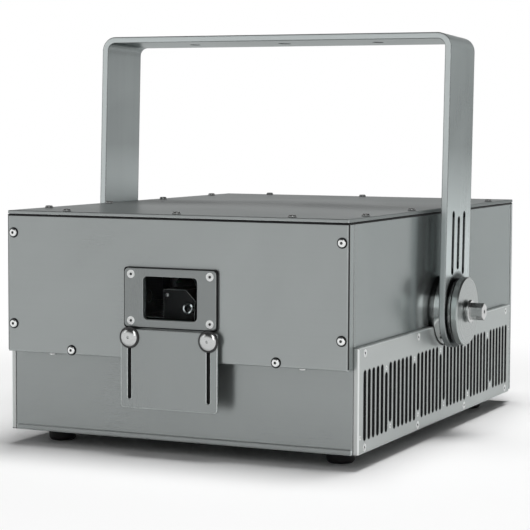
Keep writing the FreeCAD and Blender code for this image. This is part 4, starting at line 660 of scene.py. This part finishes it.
def pivot_rings(name, node, body, finish, inner, chamfer):
    """Pair of rings that stands for a CAD node on both pivots."""
    size = bpy.context.scene.projector_detail
    low, high, centre = box_of(node)
    outer = (high.z - low.z) / 2
    inside = min(abs(vert.co.x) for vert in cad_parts[node].data.vertices) + size.relief
    profile = ring_profile(inner, outer, high.x - size.relief - inside, chamfer)
    mesh = bmesh.new()
    for side in SIDES:
        verts = lathe(mesh, profile, True, size.turned_steps)
        aim(mesh, verts, Vector((inside * side, centre.y, centre.z)), AXIS_X * side)
    finish_mesh(mesh, name, finish, body, [node])


# Pieces
class PROJECTOR_OT_housing(bpy.types.Operator):
    """Finish the folded sheets of the housing"""
    bl_idname = "projector.housing"
    bl_label = "Housing"

    def execute(self, context):
        dress("sheet", "base_tray", "rear_panel", "optical_bench", "pivot_blocks")
        dress("front", "front_panel")
        dress("side", "side_shell_left", "side_shell_right")
        dress("cover", "top_cover")
        dress("bezel", "window_bezel")
        dress("shutter", "shutter_plate")
        dress("rubber", "top_seal", "window_gasket", "rubber_feet")
        dress("glass", "window_glass")
        return {"FINISHED"}


class PROJECTOR_OT_fasteners(bpy.types.Operator):
    """Finish the screws and standoffs"""
    bl_idname = "projector.fasteners"
    bl_label = "Fasteners"

    def execute(self, context):
        dress("flush_screw", "flush_screws", "filter_screws")
        dress("screw", "front_screws", "shutter_standoffs", "board_standoffs")
        dress("satin_plating", "housing_screws")
        return {"FINISHED"}


class PROJECTOR_OT_seals(bpy.types.Operator):
    """Make the bezel's rim, the seals, the black strips behind the shutter's slots and the front screws'
    washers; the rim, strips and washers stand for painted shade
    """
    bl_idname = "projector.seals"
    bl_label = "Seals and washers"

    corner: length("Corner", "Corner radius of the bezel", 0.002)
    washer: length("Washer", "Radius of the washers", 0.0048)
    head: length("Head", "Radius of the screw heads", 0.0038)
    # The strips behind the shutter's slots are black pieces of painted shade
    strip_place: length("Strip place", "Guide strips from the middle of the shutter", 0.0395)
    strip_width: length("Strip width", "Width of a guide strip", 0.0046)
    strip_bottom: length("Strip bottom", "Lower end of the strips", 0.0505)
    strip_top: length("Strip top", "Upper end of the strips", 0.1042)
    strip_gap: length("Strip gap", "Room between the strips and the shutter", 0.0001)
    seal_width: length("Seal width", "Width of the seals beside the front panel", 0.0026)
    cover_seal: length("Cover seal", "Height of the seal under the cover", 0.0015)
    seal_height: length("Seal height", "How far those seals stand proud", 0.0002)

    def execute(self, context):
        size = context.scene.projector_detail
        panel_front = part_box("front_panel")[0].y
        pieces = {
            "bezel_rim": self.rim(size, panel_front),
            "edge_seals": self.edge_seals(),
            "shade_strips": self.shade_strips(panel_front),
            "screw_washers": self.washers(size, panel_front),
        }
        for name, mesh in pieces.items():
            finish_mesh(mesh, name, "rubber", "housing")
        return {"FINISHED"}

    def rim(self, size, panel_front):
        """Thin frame of black rubber round the bezel, standing for the dark outline of shade round it:
        painted shade.
        """
        low, high, middle = box_of("window_bezel")
        mesh = bmesh.new()
        corners = bmesh.ops.create_grid(mesh, x_segments=1, y_segments=1, size=0.5)["verts"]
        width = high.x - low.x + 2 * size.rim_width
        height = high.z - low.z + 2 * size.rim_width
        bmesh.ops.scale(mesh, verts=corners, vec=(width, height, 1))
        soften(mesh, corners, self.corner + size.rim_width, 8, "VERTICES")
        inside = mesh.faces[:]
        bmesh.ops.inset_region(mesh, faces=inside, thickness=size.rim_width, use_even_offset=True,
                               use_boundary=True)
        bmesh.ops.delete(mesh, geom=inside, context="FACES")
        bmesh.ops.translate(mesh, verts=extruded(mesh, mesh.faces[:]), vec=(0, 0, size.rim_height))
        upright = Matrix(((1, 0, 0, middle.x), (0, 0, -1, panel_front), (0, 1, 0, middle.z), (0, 0, 0, 1)))
        bmesh.ops.transform(mesh, matrix=upright, verts=mesh.verts)
        return mesh

    def edge_seals(self):
        """Thin seals up the side edges of the front panel and along the joint under the cover."""
        low, high, middle = box_of("front_panel")
        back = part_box("side_shell_left")[1].y
        proud = 2 * self.seal_height
        under = high.z - self.cover_seal / 2
        mesh = bmesh.new()
        block(mesh, (middle.x, low.y, under), (high.x - low.x, proud, self.cover_seal))
        for outer in (low.x, high.x):
            centre = (outer, low.y + self.seal_width * 0.55, middle.z)
            block(mesh, centre, (proud, self.seal_width, high.z - low.z - self.seal_width))
            block(mesh, (outer, (low.y + back) / 2, under), (proud, back - low.y, self.cover_seal))
        soften(mesh, mesh.edges[:], self.seal_height / 3)
        return mesh

    def shade_strips(self, panel_front):
        """Black strip on the front panel behind each slot, put there as painted shade so that the slots show
        dark.
        """
        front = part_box("shutter_plate")[1].y + self.strip_gap
        height = self.strip_top - self.strip_bottom
        mesh = bmesh.new()
        for side in SIDES:
            centre = (self.strip_place * side, (front + panel_front) / 2,
                      (self.strip_top + self.strip_bottom) / 2)
            block(mesh, centre, (self.strip_width, panel_front - front, height))
        soften(mesh, mesh.edges[:], self.strip_width / 12)
        return mesh

    def washers(self, size, panel_front):
        """Thin black washer round each front screw, standing for the ring of shade round its head: painted
        shade.
        """
        ring = ring_profile(self.head, self.washer, size.washer_height, size.washer_height / 4)
        places = [(across * side, panel_front, upward) for across, upward in FRONT_SCREWS for side in SIDES]
        return turned(ring, True, size.turned_steps // 3, *places)


class PROJECTOR_OT_vents(bpy.types.Operator):
    """Finish the vent panels and make the filter mats behind them"""
    bl_idname = "projector.vents"
    bl_label = "Vents and filters"

    cell: length("Cell", "Size of a foam patch", 0.003)
    notch: length("Notch", "Radius cut round the pivot", 0.0382)
    slots: IntProperty(name="Slots", description="Slots along each panel", min=1, default=40)
    pitch: length("Pitch", "Distance from slot to slot", 0.01057)
    slot_middle: length("Slot middle", "Middle of the row of slots", -0.004)
    slot_width: length("Slot width", "Width of a slot", 0.0065)
    slot_bottom: length("Slot bottom", "Lower end of the slots", 0.0254)
    slot_top: length("Slot top", "Upper end of the slots", 0.0874)
    short: length("Shortening", "What the short slots lack", 0.008)
    sunk: length("Sunk", "How far the foam lies below the sheet", 0.0001)

    def execute(self, context):
        dress("vent", "vent_panel_left", "vent_panel_right")
        for side in SIDES:
            self.mat(side, context.scene.projector_detail.foam_swell)
        return {"FINISHED"}

    def mat(self, side, swell):
        """Uneven mat on one side, cut away round the pivot."""
        word = SIDES[side]
        node = "dust_filter_" + word
        pivot = box_of("clamp_discs")[2]
        low, high, middle = box_of(node)
        inner, outer = (low.x, high.x) if side > 0 else (high.x, low.x)
        along = high.y - low.y
        height = high.z - low.z
        mesh = bmesh.new()
        upright = Matrix(((0, 0, side, inner), (along, 0, 0, middle.y), (0, height, 0, middle.z),
                          (0, 0, 0, 1)))
        bmesh.ops.create_grid(mesh, x_segments=round(along / self.cell), y_segments=round(height / self.cell),
                              size=0.5, matrix=upright)
        near = [v for v in mesh.verts if math.hypot(v.co.y - pivot.y, v.co.z - pivot.z) < self.notch]
        bmesh.ops.delete(mesh, geom=near, context="VERTS")
        for vert in extruded(mesh, mesh.faces[:]):
            lump = 0.5 + 0.5 * noise.noise(vert.co * FOAM_LUMPS_PER_METRE)
            vert.co.x += side * (high.x - low.x - swell * lump)
        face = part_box("vent_panel_" + word)[max(side, 0)].x
        self.bulges(mesh, side, outer - side * swell, face)
        mat = finish_mesh(mesh, "filter_mat_" + word, "foam", "housing", [node])

    def bulges(self, mesh, side, start, face):
        """Foam that presses into each slot."""
        depth = abs(face - start) - self.sunk
        for count in range(self.slots):
            bottom = self.slot_bottom + (self.short if count % SHORT_EVERY == SHORT_EVERY - 1 else 0)
            top = self.slot_top - (self.short if count % SHORT_EVERY == SHORT_EVERY - 2 else 0)
            along = self.slot_middle + (count - (self.slots - 1) / 2) * self.pitch
            centre = (start + side * depth / 2, along, (bottom + top) / 2)
            pad = block(mesh, centre, (depth, self.slot_width, top - bottom))
            edges = {edge for vert in pad for edge in vert.link_edges}
            outer = [edge for edge in edges if all(side * (v.co.x - start) > depth / 2 for v in edge.verts)]
            soften(mesh, outer, depth / 12)


class PROJECTOR_OT_yoke(bpy.types.Operator):
    """Finish the yoke and turn its hubs"""
    bl_idname = "projector.yoke"
    bl_label = "Yoke and hubs"

    bore: length("Bore", "Radius of the pivot holes", 0.0063)

    def execute(self, context):
        size = context.scene.projector_detail
        dress("strap", "yoke")
        pivot_rings("boss_rings", "pivot_bosses", "housing", "boss", self.bore, size.chamfer)
        pivot_rings("spacer_rings", "yoke_spacers", "yoke", "bush", self.bore, size.chamfer)
        pivot_rings("friction_rings", "friction_washers", "yoke", "washer", self.bore, size.chamfer)
        pivot_rings("clamp_rings", "clamp_discs", "yoke", "hub", self.bore, size.disc_chamfer)
        pivot_rings("spring_rings", "spring_washers", "yoke", "bush", self.bore, size.chamfer)
        return {"FINISHED"}


class PROJECTOR_OT_clamp_bolts(bpy.types.Operator):
    """Make the two hexagon bolts that clamp the yoke"""
    bl_idname = "projector.clamp_bolts"
    bl_label = "Clamp bolts"

    shank: length("Shank", "Radius of the bolt", 0.006)
    flange: length("Flange", "Radius of the flange", 0.011)
    flange_length: length("Flange length", "Height of the flange", 0.0024)
    flats: length("Flats", "Width of the hexagon", 0.0145)
    head: length("Head", "Length of the hexagon", 0.0125)
    hole: length("Hole", "Radius of the drilled end", 0.0018)
    hole_depth: length("Hole depth", "Depth of the drilled end", 0.006)

    def execute(self, context):
        for side in SIDES:
            self.bolt(context.scene.projector_detail, side)
        return {"FINISHED"}

    def bolt(self, size, side):
        """Bolt on one side: turned shank and flange, then the hexagon."""
        word = SIDES[side]
        node = "clamp_bolt_" + word
        low, high, centre = box_of(node)
        under = high.x - low.x - self.head - self.flange_length
        top = under + self.flange_length
        edge = size.chamfer
        profile = [(0, 0), (self.shank - edge, 0), (self.shank, edge), (self.shank, under),
                   (self.flange - edge, under), (self.flange, under + edge), (self.flange, top - edge * 2),
                   (self.flange - edge * 2, top), (0, top)]
        mesh = bmesh.new()
        lathe(mesh, profile, False, size.turned_steps)
        self.hexagon(mesh, top, edge)
        self.drill(mesh, top + self.head)
        start = low.x if side > 0 else high.x
        aim(mesh, mesh.verts[:], Vector((start, centre.y, centre.z)), AXIS_X * side)
        finish_mesh(mesh, "hex_bolt_" + word, "bolt", node, [node], 15.0)

    def hexagon(self, mesh, top, edge):
        """Six-sided head on the flange, with its edges broken."""
        radius = self.flats / math.sqrt(3)
        place = Matrix.Translation((0, 0, top)) @ Matrix.Rotation(math.radians(30), 4, "Z")
        prism = bmesh.ops.create_circle(mesh, cap_ends=True, segments=6, radius=radius, matrix=place)["verts"]
        end = extruded(mesh, list({face for vert in prism for face in vert.link_faces}))
        bmesh.ops.translate(mesh, verts=end, vec=(0, 0, self.head))
        sides = {e for v in prism + end for e in v.link_edges}
        rims = [e for e in sides if all(v.co.z > top + self.head / 2 for v in e.verts)]
        posts = [e for e in sides if abs(e.verts[0].co.z - e.verts[1].co.z) > self.head / 2]
        soften(mesh, rims + posts, edge)

    def drill(self, mesh, level):
        """Blind hole in the highest face."""
        flat = [face for face in mesh.faces if abs(face.normal.z) > 0.99]
        face = max(flat, key=lambda item: item.calc_center_median().z)
        place = Matrix.Translation((0, 0, level))
        circle = bmesh.ops.create_circle(mesh, segments=32, radius=self.hole, matrix=place)["verts"]
        outline = list(face.edges)
        bmesh.ops.delete(mesh, geom=[face], context="FACES_ONLY")
        ring = list({e for v in circle for e in v.link_edges})
        bmesh.ops.bridge_loops(mesh, edges=outline + ring)
        wall = bmesh.ops.extrude_edge_only(mesh, edges=ring)["geom"]
        deep = verts_in(wall)
        bmesh.ops.translate(mesh, verts=deep, vec=(0, 0, -self.hole_depth))
        edges = [item for item in wall if isinstance(item, bmesh.types.BMEdge)]
        bmesh.ops.contextual_create(mesh, geom=[e for e in edges if all(v in deep for v in e.verts)])


class PROJECTOR_OT_thumbscrews(bpy.types.Operator):
    """Turn the two thumbscrews of the shutter"""
    bl_idname = "projector.thumbscrews"
    bl_label = "Thumbscrews"

    collar: length("Collar", "Radius of the collar", 0.0098)
    collar_length: length("Collar length", "Thickness of the collar", 0.001)
    head: length("Head", "Radius of the grip", 0.008)
    dome: length("Dome", "Rise of the domed end", 0.002)
    crown: FloatProperty(name="Crown", description="How flat the dome's middle is", min=2, max=8, default=3.5)
    shank: length("Shank", "Radius of the thread", 0.0015)
    centre_hole: length("Centre hole", "Radius of the drilled centre", 0.0013)

    def execute(self, context):
        size = context.scene.projector_detail
        plate_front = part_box("shutter_plate")[0].y
        for word in SIDES.values():
            node = "thumbscrew_" + word
            low, high, centre = box_of(node)
            place = (centre.x, plate_front, centre.z)
            profile = self.knob(high.y - plate_front, plate_front - low.y - self.dome, size.chamfer)
            mesh = turned(profile, False, size.turned_steps, place)
            finish_mesh(mesh, "thumb_knob_" + word, "knob_" + word, node, [node], 24.0)
            # The collar under each knob is black nylon, partly painted shade: it stands for the shade round
            # the head
            ring = ring_profile(self.shank, self.collar, self.collar_length, size.chamfer)
            mesh = turned(ring, True, size.turned_steps, place)
            finish_mesh(mesh, "thumb_washer_" + word, "nylon", node, [node])
        return {"FINISHED"}

    def knob(self, shank_length, shoulder, edge):
        """Section of a thumbscrew from its thread to its drilled dome."""
        profile = [(0, -shank_length), (self.shank, -shank_length), (self.shank, self.collar_length),
                   (self.head - edge, self.collar_length), (self.head, self.collar_length + edge),
                   (self.head, shoulder)]
        hole = self.centre_hole / self.head
        for step in range(1, DOME_RINGS):
            share = 1 - (1 - hole) * step / DOME_RINGS
            profile.append((self.head * share, shoulder + self.dome * (1 - share ** self.crown)))
        top = shoulder + self.dome * (1 - hole ** self.crown)
        return profile + [(self.centre_hole, top), (self.centre_hole, shoulder), (0, shoulder)]


class PROJECTOR_OT_inside(bpy.types.Operator):
    """Finish the optics, fans, boards and supply"""
    bl_idname = "projector.inside"
    bl_label = "Inside"

    screw: length("Screw", "Radius of the block's small screw", 0.002)
    screw_across: length("Screw place", "Place of the small screw across the projector", -0.0151)
    screw_height: length("Screw height", "Height of the small screw", 0.1458)

    def execute(self, context):
        dress("anodised", "scanner_block", "scanner_motors")
        dress("mirror", "combining_mirrors", "scanner_mirror_x", "scanner_mirror_y")
        dress("alloy", "red_laser_module", "green_laser_module", "blue_laser_module", "mirror_mounts",
              "heat_sink")
        dress("board", "laser_driver_board", "control_board", "scanner_driver_board")
        dress("supply", "power_supply")
        dress("plastic", "fan_frames", "fan_rotor_front_left", "fan_rotor_front_right", "fan_rotor_rear_left",
              "fan_rotor_rear_right")
        size = context.scene.projector_detail
        self.set_screw(size)
        self.clamp_ring(size)
        return {"FINISHED"}

    def clamp_ring(self, size):
        """Bright ring that clamps the scanner; the block shows dark through it."""
        low, high, middle = box_of("scanner_clamp_screw")
        radius = (high.z - low.z) / 2
        depth = high.y - low.y
        edge = size.chamfer
        profile = [(radius * 0.6, 0), (radius, 0), (radius, depth - 2 * edge), (radius - edge, depth - edge),
                   (radius * 0.8, depth), (radius * 0.6, depth - edge)]
        mesh = turned(profile, True, size.turned_steps // 2, (middle.x, high.y, middle.z))
        finish_mesh(mesh, "clamp_ring", "screw", "housing", ["scanner_clamp_screw"])

    def set_screw(self, size):
        """Small round screw on the scanner block's face."""
        radius = self.screw
        place = (self.screw_across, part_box("scanner_block")[0].y, self.screw_height)
        profile = [(0, 0), (radius, 0), (radius, radius / 3), (radius * 0.6, radius * 0.75),
                   (radius * 0.35, radius * 0.8), (radius * 0.35, radius * 0.3), (0, radius * 0.3)]
        mesh = turned(profile, False, size.turned_steps // 3, place)
        finish_mesh(mesh, "block_screw", "screw", "housing")


class PROJECTOR_OT_rear(bpy.types.Operator):
    """Finish the sockets, switch and key of the rear panel"""
    bl_idname = "projector.rear"
    bl_label = "Rear panel parts"

    def execute(self, context):
        dress("plastic", "mains_inlet", "power_rocker", "data_sockets")
        dress("satin_plating", "signal_sockets", "key_switch", "key")
        return {"FINISHED"}


# Studio
class PROJECTOR_OT_studio(bpy.types.Operator):
    """Set up the floor, the lamps, the world and the camera"""
    bl_idname = "projector.studio"
    bl_label = "Studio"

    def execute(self, context):
        scene = context.scene
        scene.view_settings.view_transform = "Standard"
        stage = scene.projector_stage
        self.camera(scene, stage)
        self.floor(stage)
        self.lamps()
        self.world(scene, stage)
        return {"FINISHED"}

    def camera(self, scene, stage):
        """Camera at the photograph's angle."""
        data = bpy.data.cameras.new("Camera")
        data.lens = stage.lens
        data.sensor_width = 36.0
        data.clip_end = 100.0
        camera = placed("Camera", data)
        turn = (Matrix.Rotation(stage.camera_azimuth, 4, "Z")
                @ Matrix.Rotation(math.pi / 2 - stage.camera_elevation, 4, "X")
                @ Matrix.Rotation(stage.camera_roll, 4, "Z"))
        camera.matrix_world = Matrix.Translation(stage.camera_place) @ turn
        scene.camera = camera

    def floor(self, stage):
        """Pale floor that stays white away from the projector and keeps its shadow."""
        mesh = bmesh.new()
        bmesh.ops.create_circle(mesh, cap_ends=True, segments=96, radius=FLOOR_RADIUS)
        floor = mesh_object("floor", mesh)
        paint = bpy.data.materials.new("Pale floor")
        paint.use_nodes = True
        tree = paint.node_tree
        tree.nodes.clear()
        spot = add_node(tree, "TexCoord").outputs["Object"]
        reach = add_node(tree, "VectorMath", {0: spot}, operation="LENGTH").outputs["Value"]
        far = maths(tree, "MULTIPLY", seen_rays(tree), ranged(tree, reach, *FLOOR_FADE, smooth=True))
        plain = add_node(tree, "BsdfDiffuse", {"Color": (*stage.floor, 1.0)}).outputs[0]
        white = add_node(tree, "Emission", {"Color": WHITE}).outputs[0]
        both = add_node(tree, "MixShader", {"Fac": far, 1: plain, 2: white}).outputs[0]
        add_node(tree, "OutputMaterial", {"Surface": both})
        floor.data.materials.append(paint)

    def lamps(self):
        """Soft boxes; the floor's own lamp is kept out of reflections, so that the cover doesn't glare."""
        boxes = (
            ("Floor lamp", (0.2, 0.08, 2.4), 1.3, 1.1, 45.0, False),
            ("Top lamp", (0.2, 0.08, 2.4), 1.3, 1.1, 16.0, True),
            ("Key lamp", (-2.1, -1.5, 1.3), 1.2, 1.0, 4.0, True),
            ("Side lamp", (1.0, -2.0, 1.4), 0.7, 1.7, 10.0, True),
        )
        for name, place, width, height, power, reflected in boxes:
            data = bpy.data.lights.new(name, "AREA")
            data.shape = "RECTANGLE"
            data.size = width
            data.size_y = height
            data.energy = power
            lamp = placed(name, data)
            lamp.location = place
            lamp.rotation_euler = (LAMP_TARGET - Vector(place)).to_track_quat("-Z", "Y").to_euler()
            lamp.visible_glossy = reflected

    def world(self, scene, stage):
        """White backdrop under a quieter ceiling, which fills the shadows with less than it shows."""
        world = bpy.data.worlds.new("Studio")
        scene.world = world
        world.use_nodes = True
        tree = world.node_tree
        spot = add_node(tree, "TexCoord").outputs["Generated"]
        upward = add_node(tree, "SeparateXYZ", {0: spot}).outputs["Z"]
        sweep = ranged(tree, upward, *BACKDROP_EDGE, 1.0, stage.ceiling_light, True)
        part = ranged(tree, seen_rays(tree), 0.0, 1.0, stage.fill_share, 1.0)
        room = tree.nodes["Background"].inputs
        room["Color"].default_value = WHITE
        wire(tree, maths(tree, "MULTIPLY", sweep, part), room["Strength"])


OPERATORS = (PROJECTOR_OT_housing, PROJECTOR_OT_fasteners, PROJECTOR_OT_seals, PROJECTOR_OT_vents,
             PROJECTOR_OT_yoke, PROJECTOR_OT_clamp_bolts, PROJECTOR_OT_thumbscrews, PROJECTOR_OT_inside,
             PROJECTOR_OT_rear, PROJECTOR_OT_studio)
SETTINGS = {"projector_finish": ProjectorFinish, "projector_detail": ProjectorDetail,
            "projector_stage": ProjectorStage}


class PROJECTOR_PT_panel(bpy.types.Panel):
    """Panel that lists the projector's settings and steps"""
    bl_idname = "PROJECTOR_PT_panel"
    bl_label = "Projector"
    bl_space_type = "VIEW_3D"
    bl_region_type = "UI"
    bl_category = "Projector"

    def draw(self, context):
        for name, kind in SETTINGS.items():
            for setting in kind.__annotations__:
                self.layout.prop(getattr(context.scene, name), setting)
        for operator in OPERATORS:
            self.layout.operator(operator.bl_idname)


CLASSES = (*SETTINGS.values(), *OPERATORS, PROJECTOR_PT_panel)


def register():
    """Classes and the scene's settings."""
    for item in CLASSES:
        bpy.utils.register_class(item)
    for name, kind in SETTINGS.items():
        setattr(bpy.types.Scene, name, PointerProperty(type=kind))


def unregister():
    """Everything that register added."""
    for name in SETTINGS:
        delattr(bpy.types.Scene, name)
    for item in reversed(CLASSES):
        bpy.utils.unregister_class(item)


def main():
    """Runs every step in order."""
    register()
    for operator in OPERATORS:
        group, name = operator.bl_idname.split(".")
        getattr(getattr(bpy.ops, group), name)()


if __name__ == "__main__":
    main()
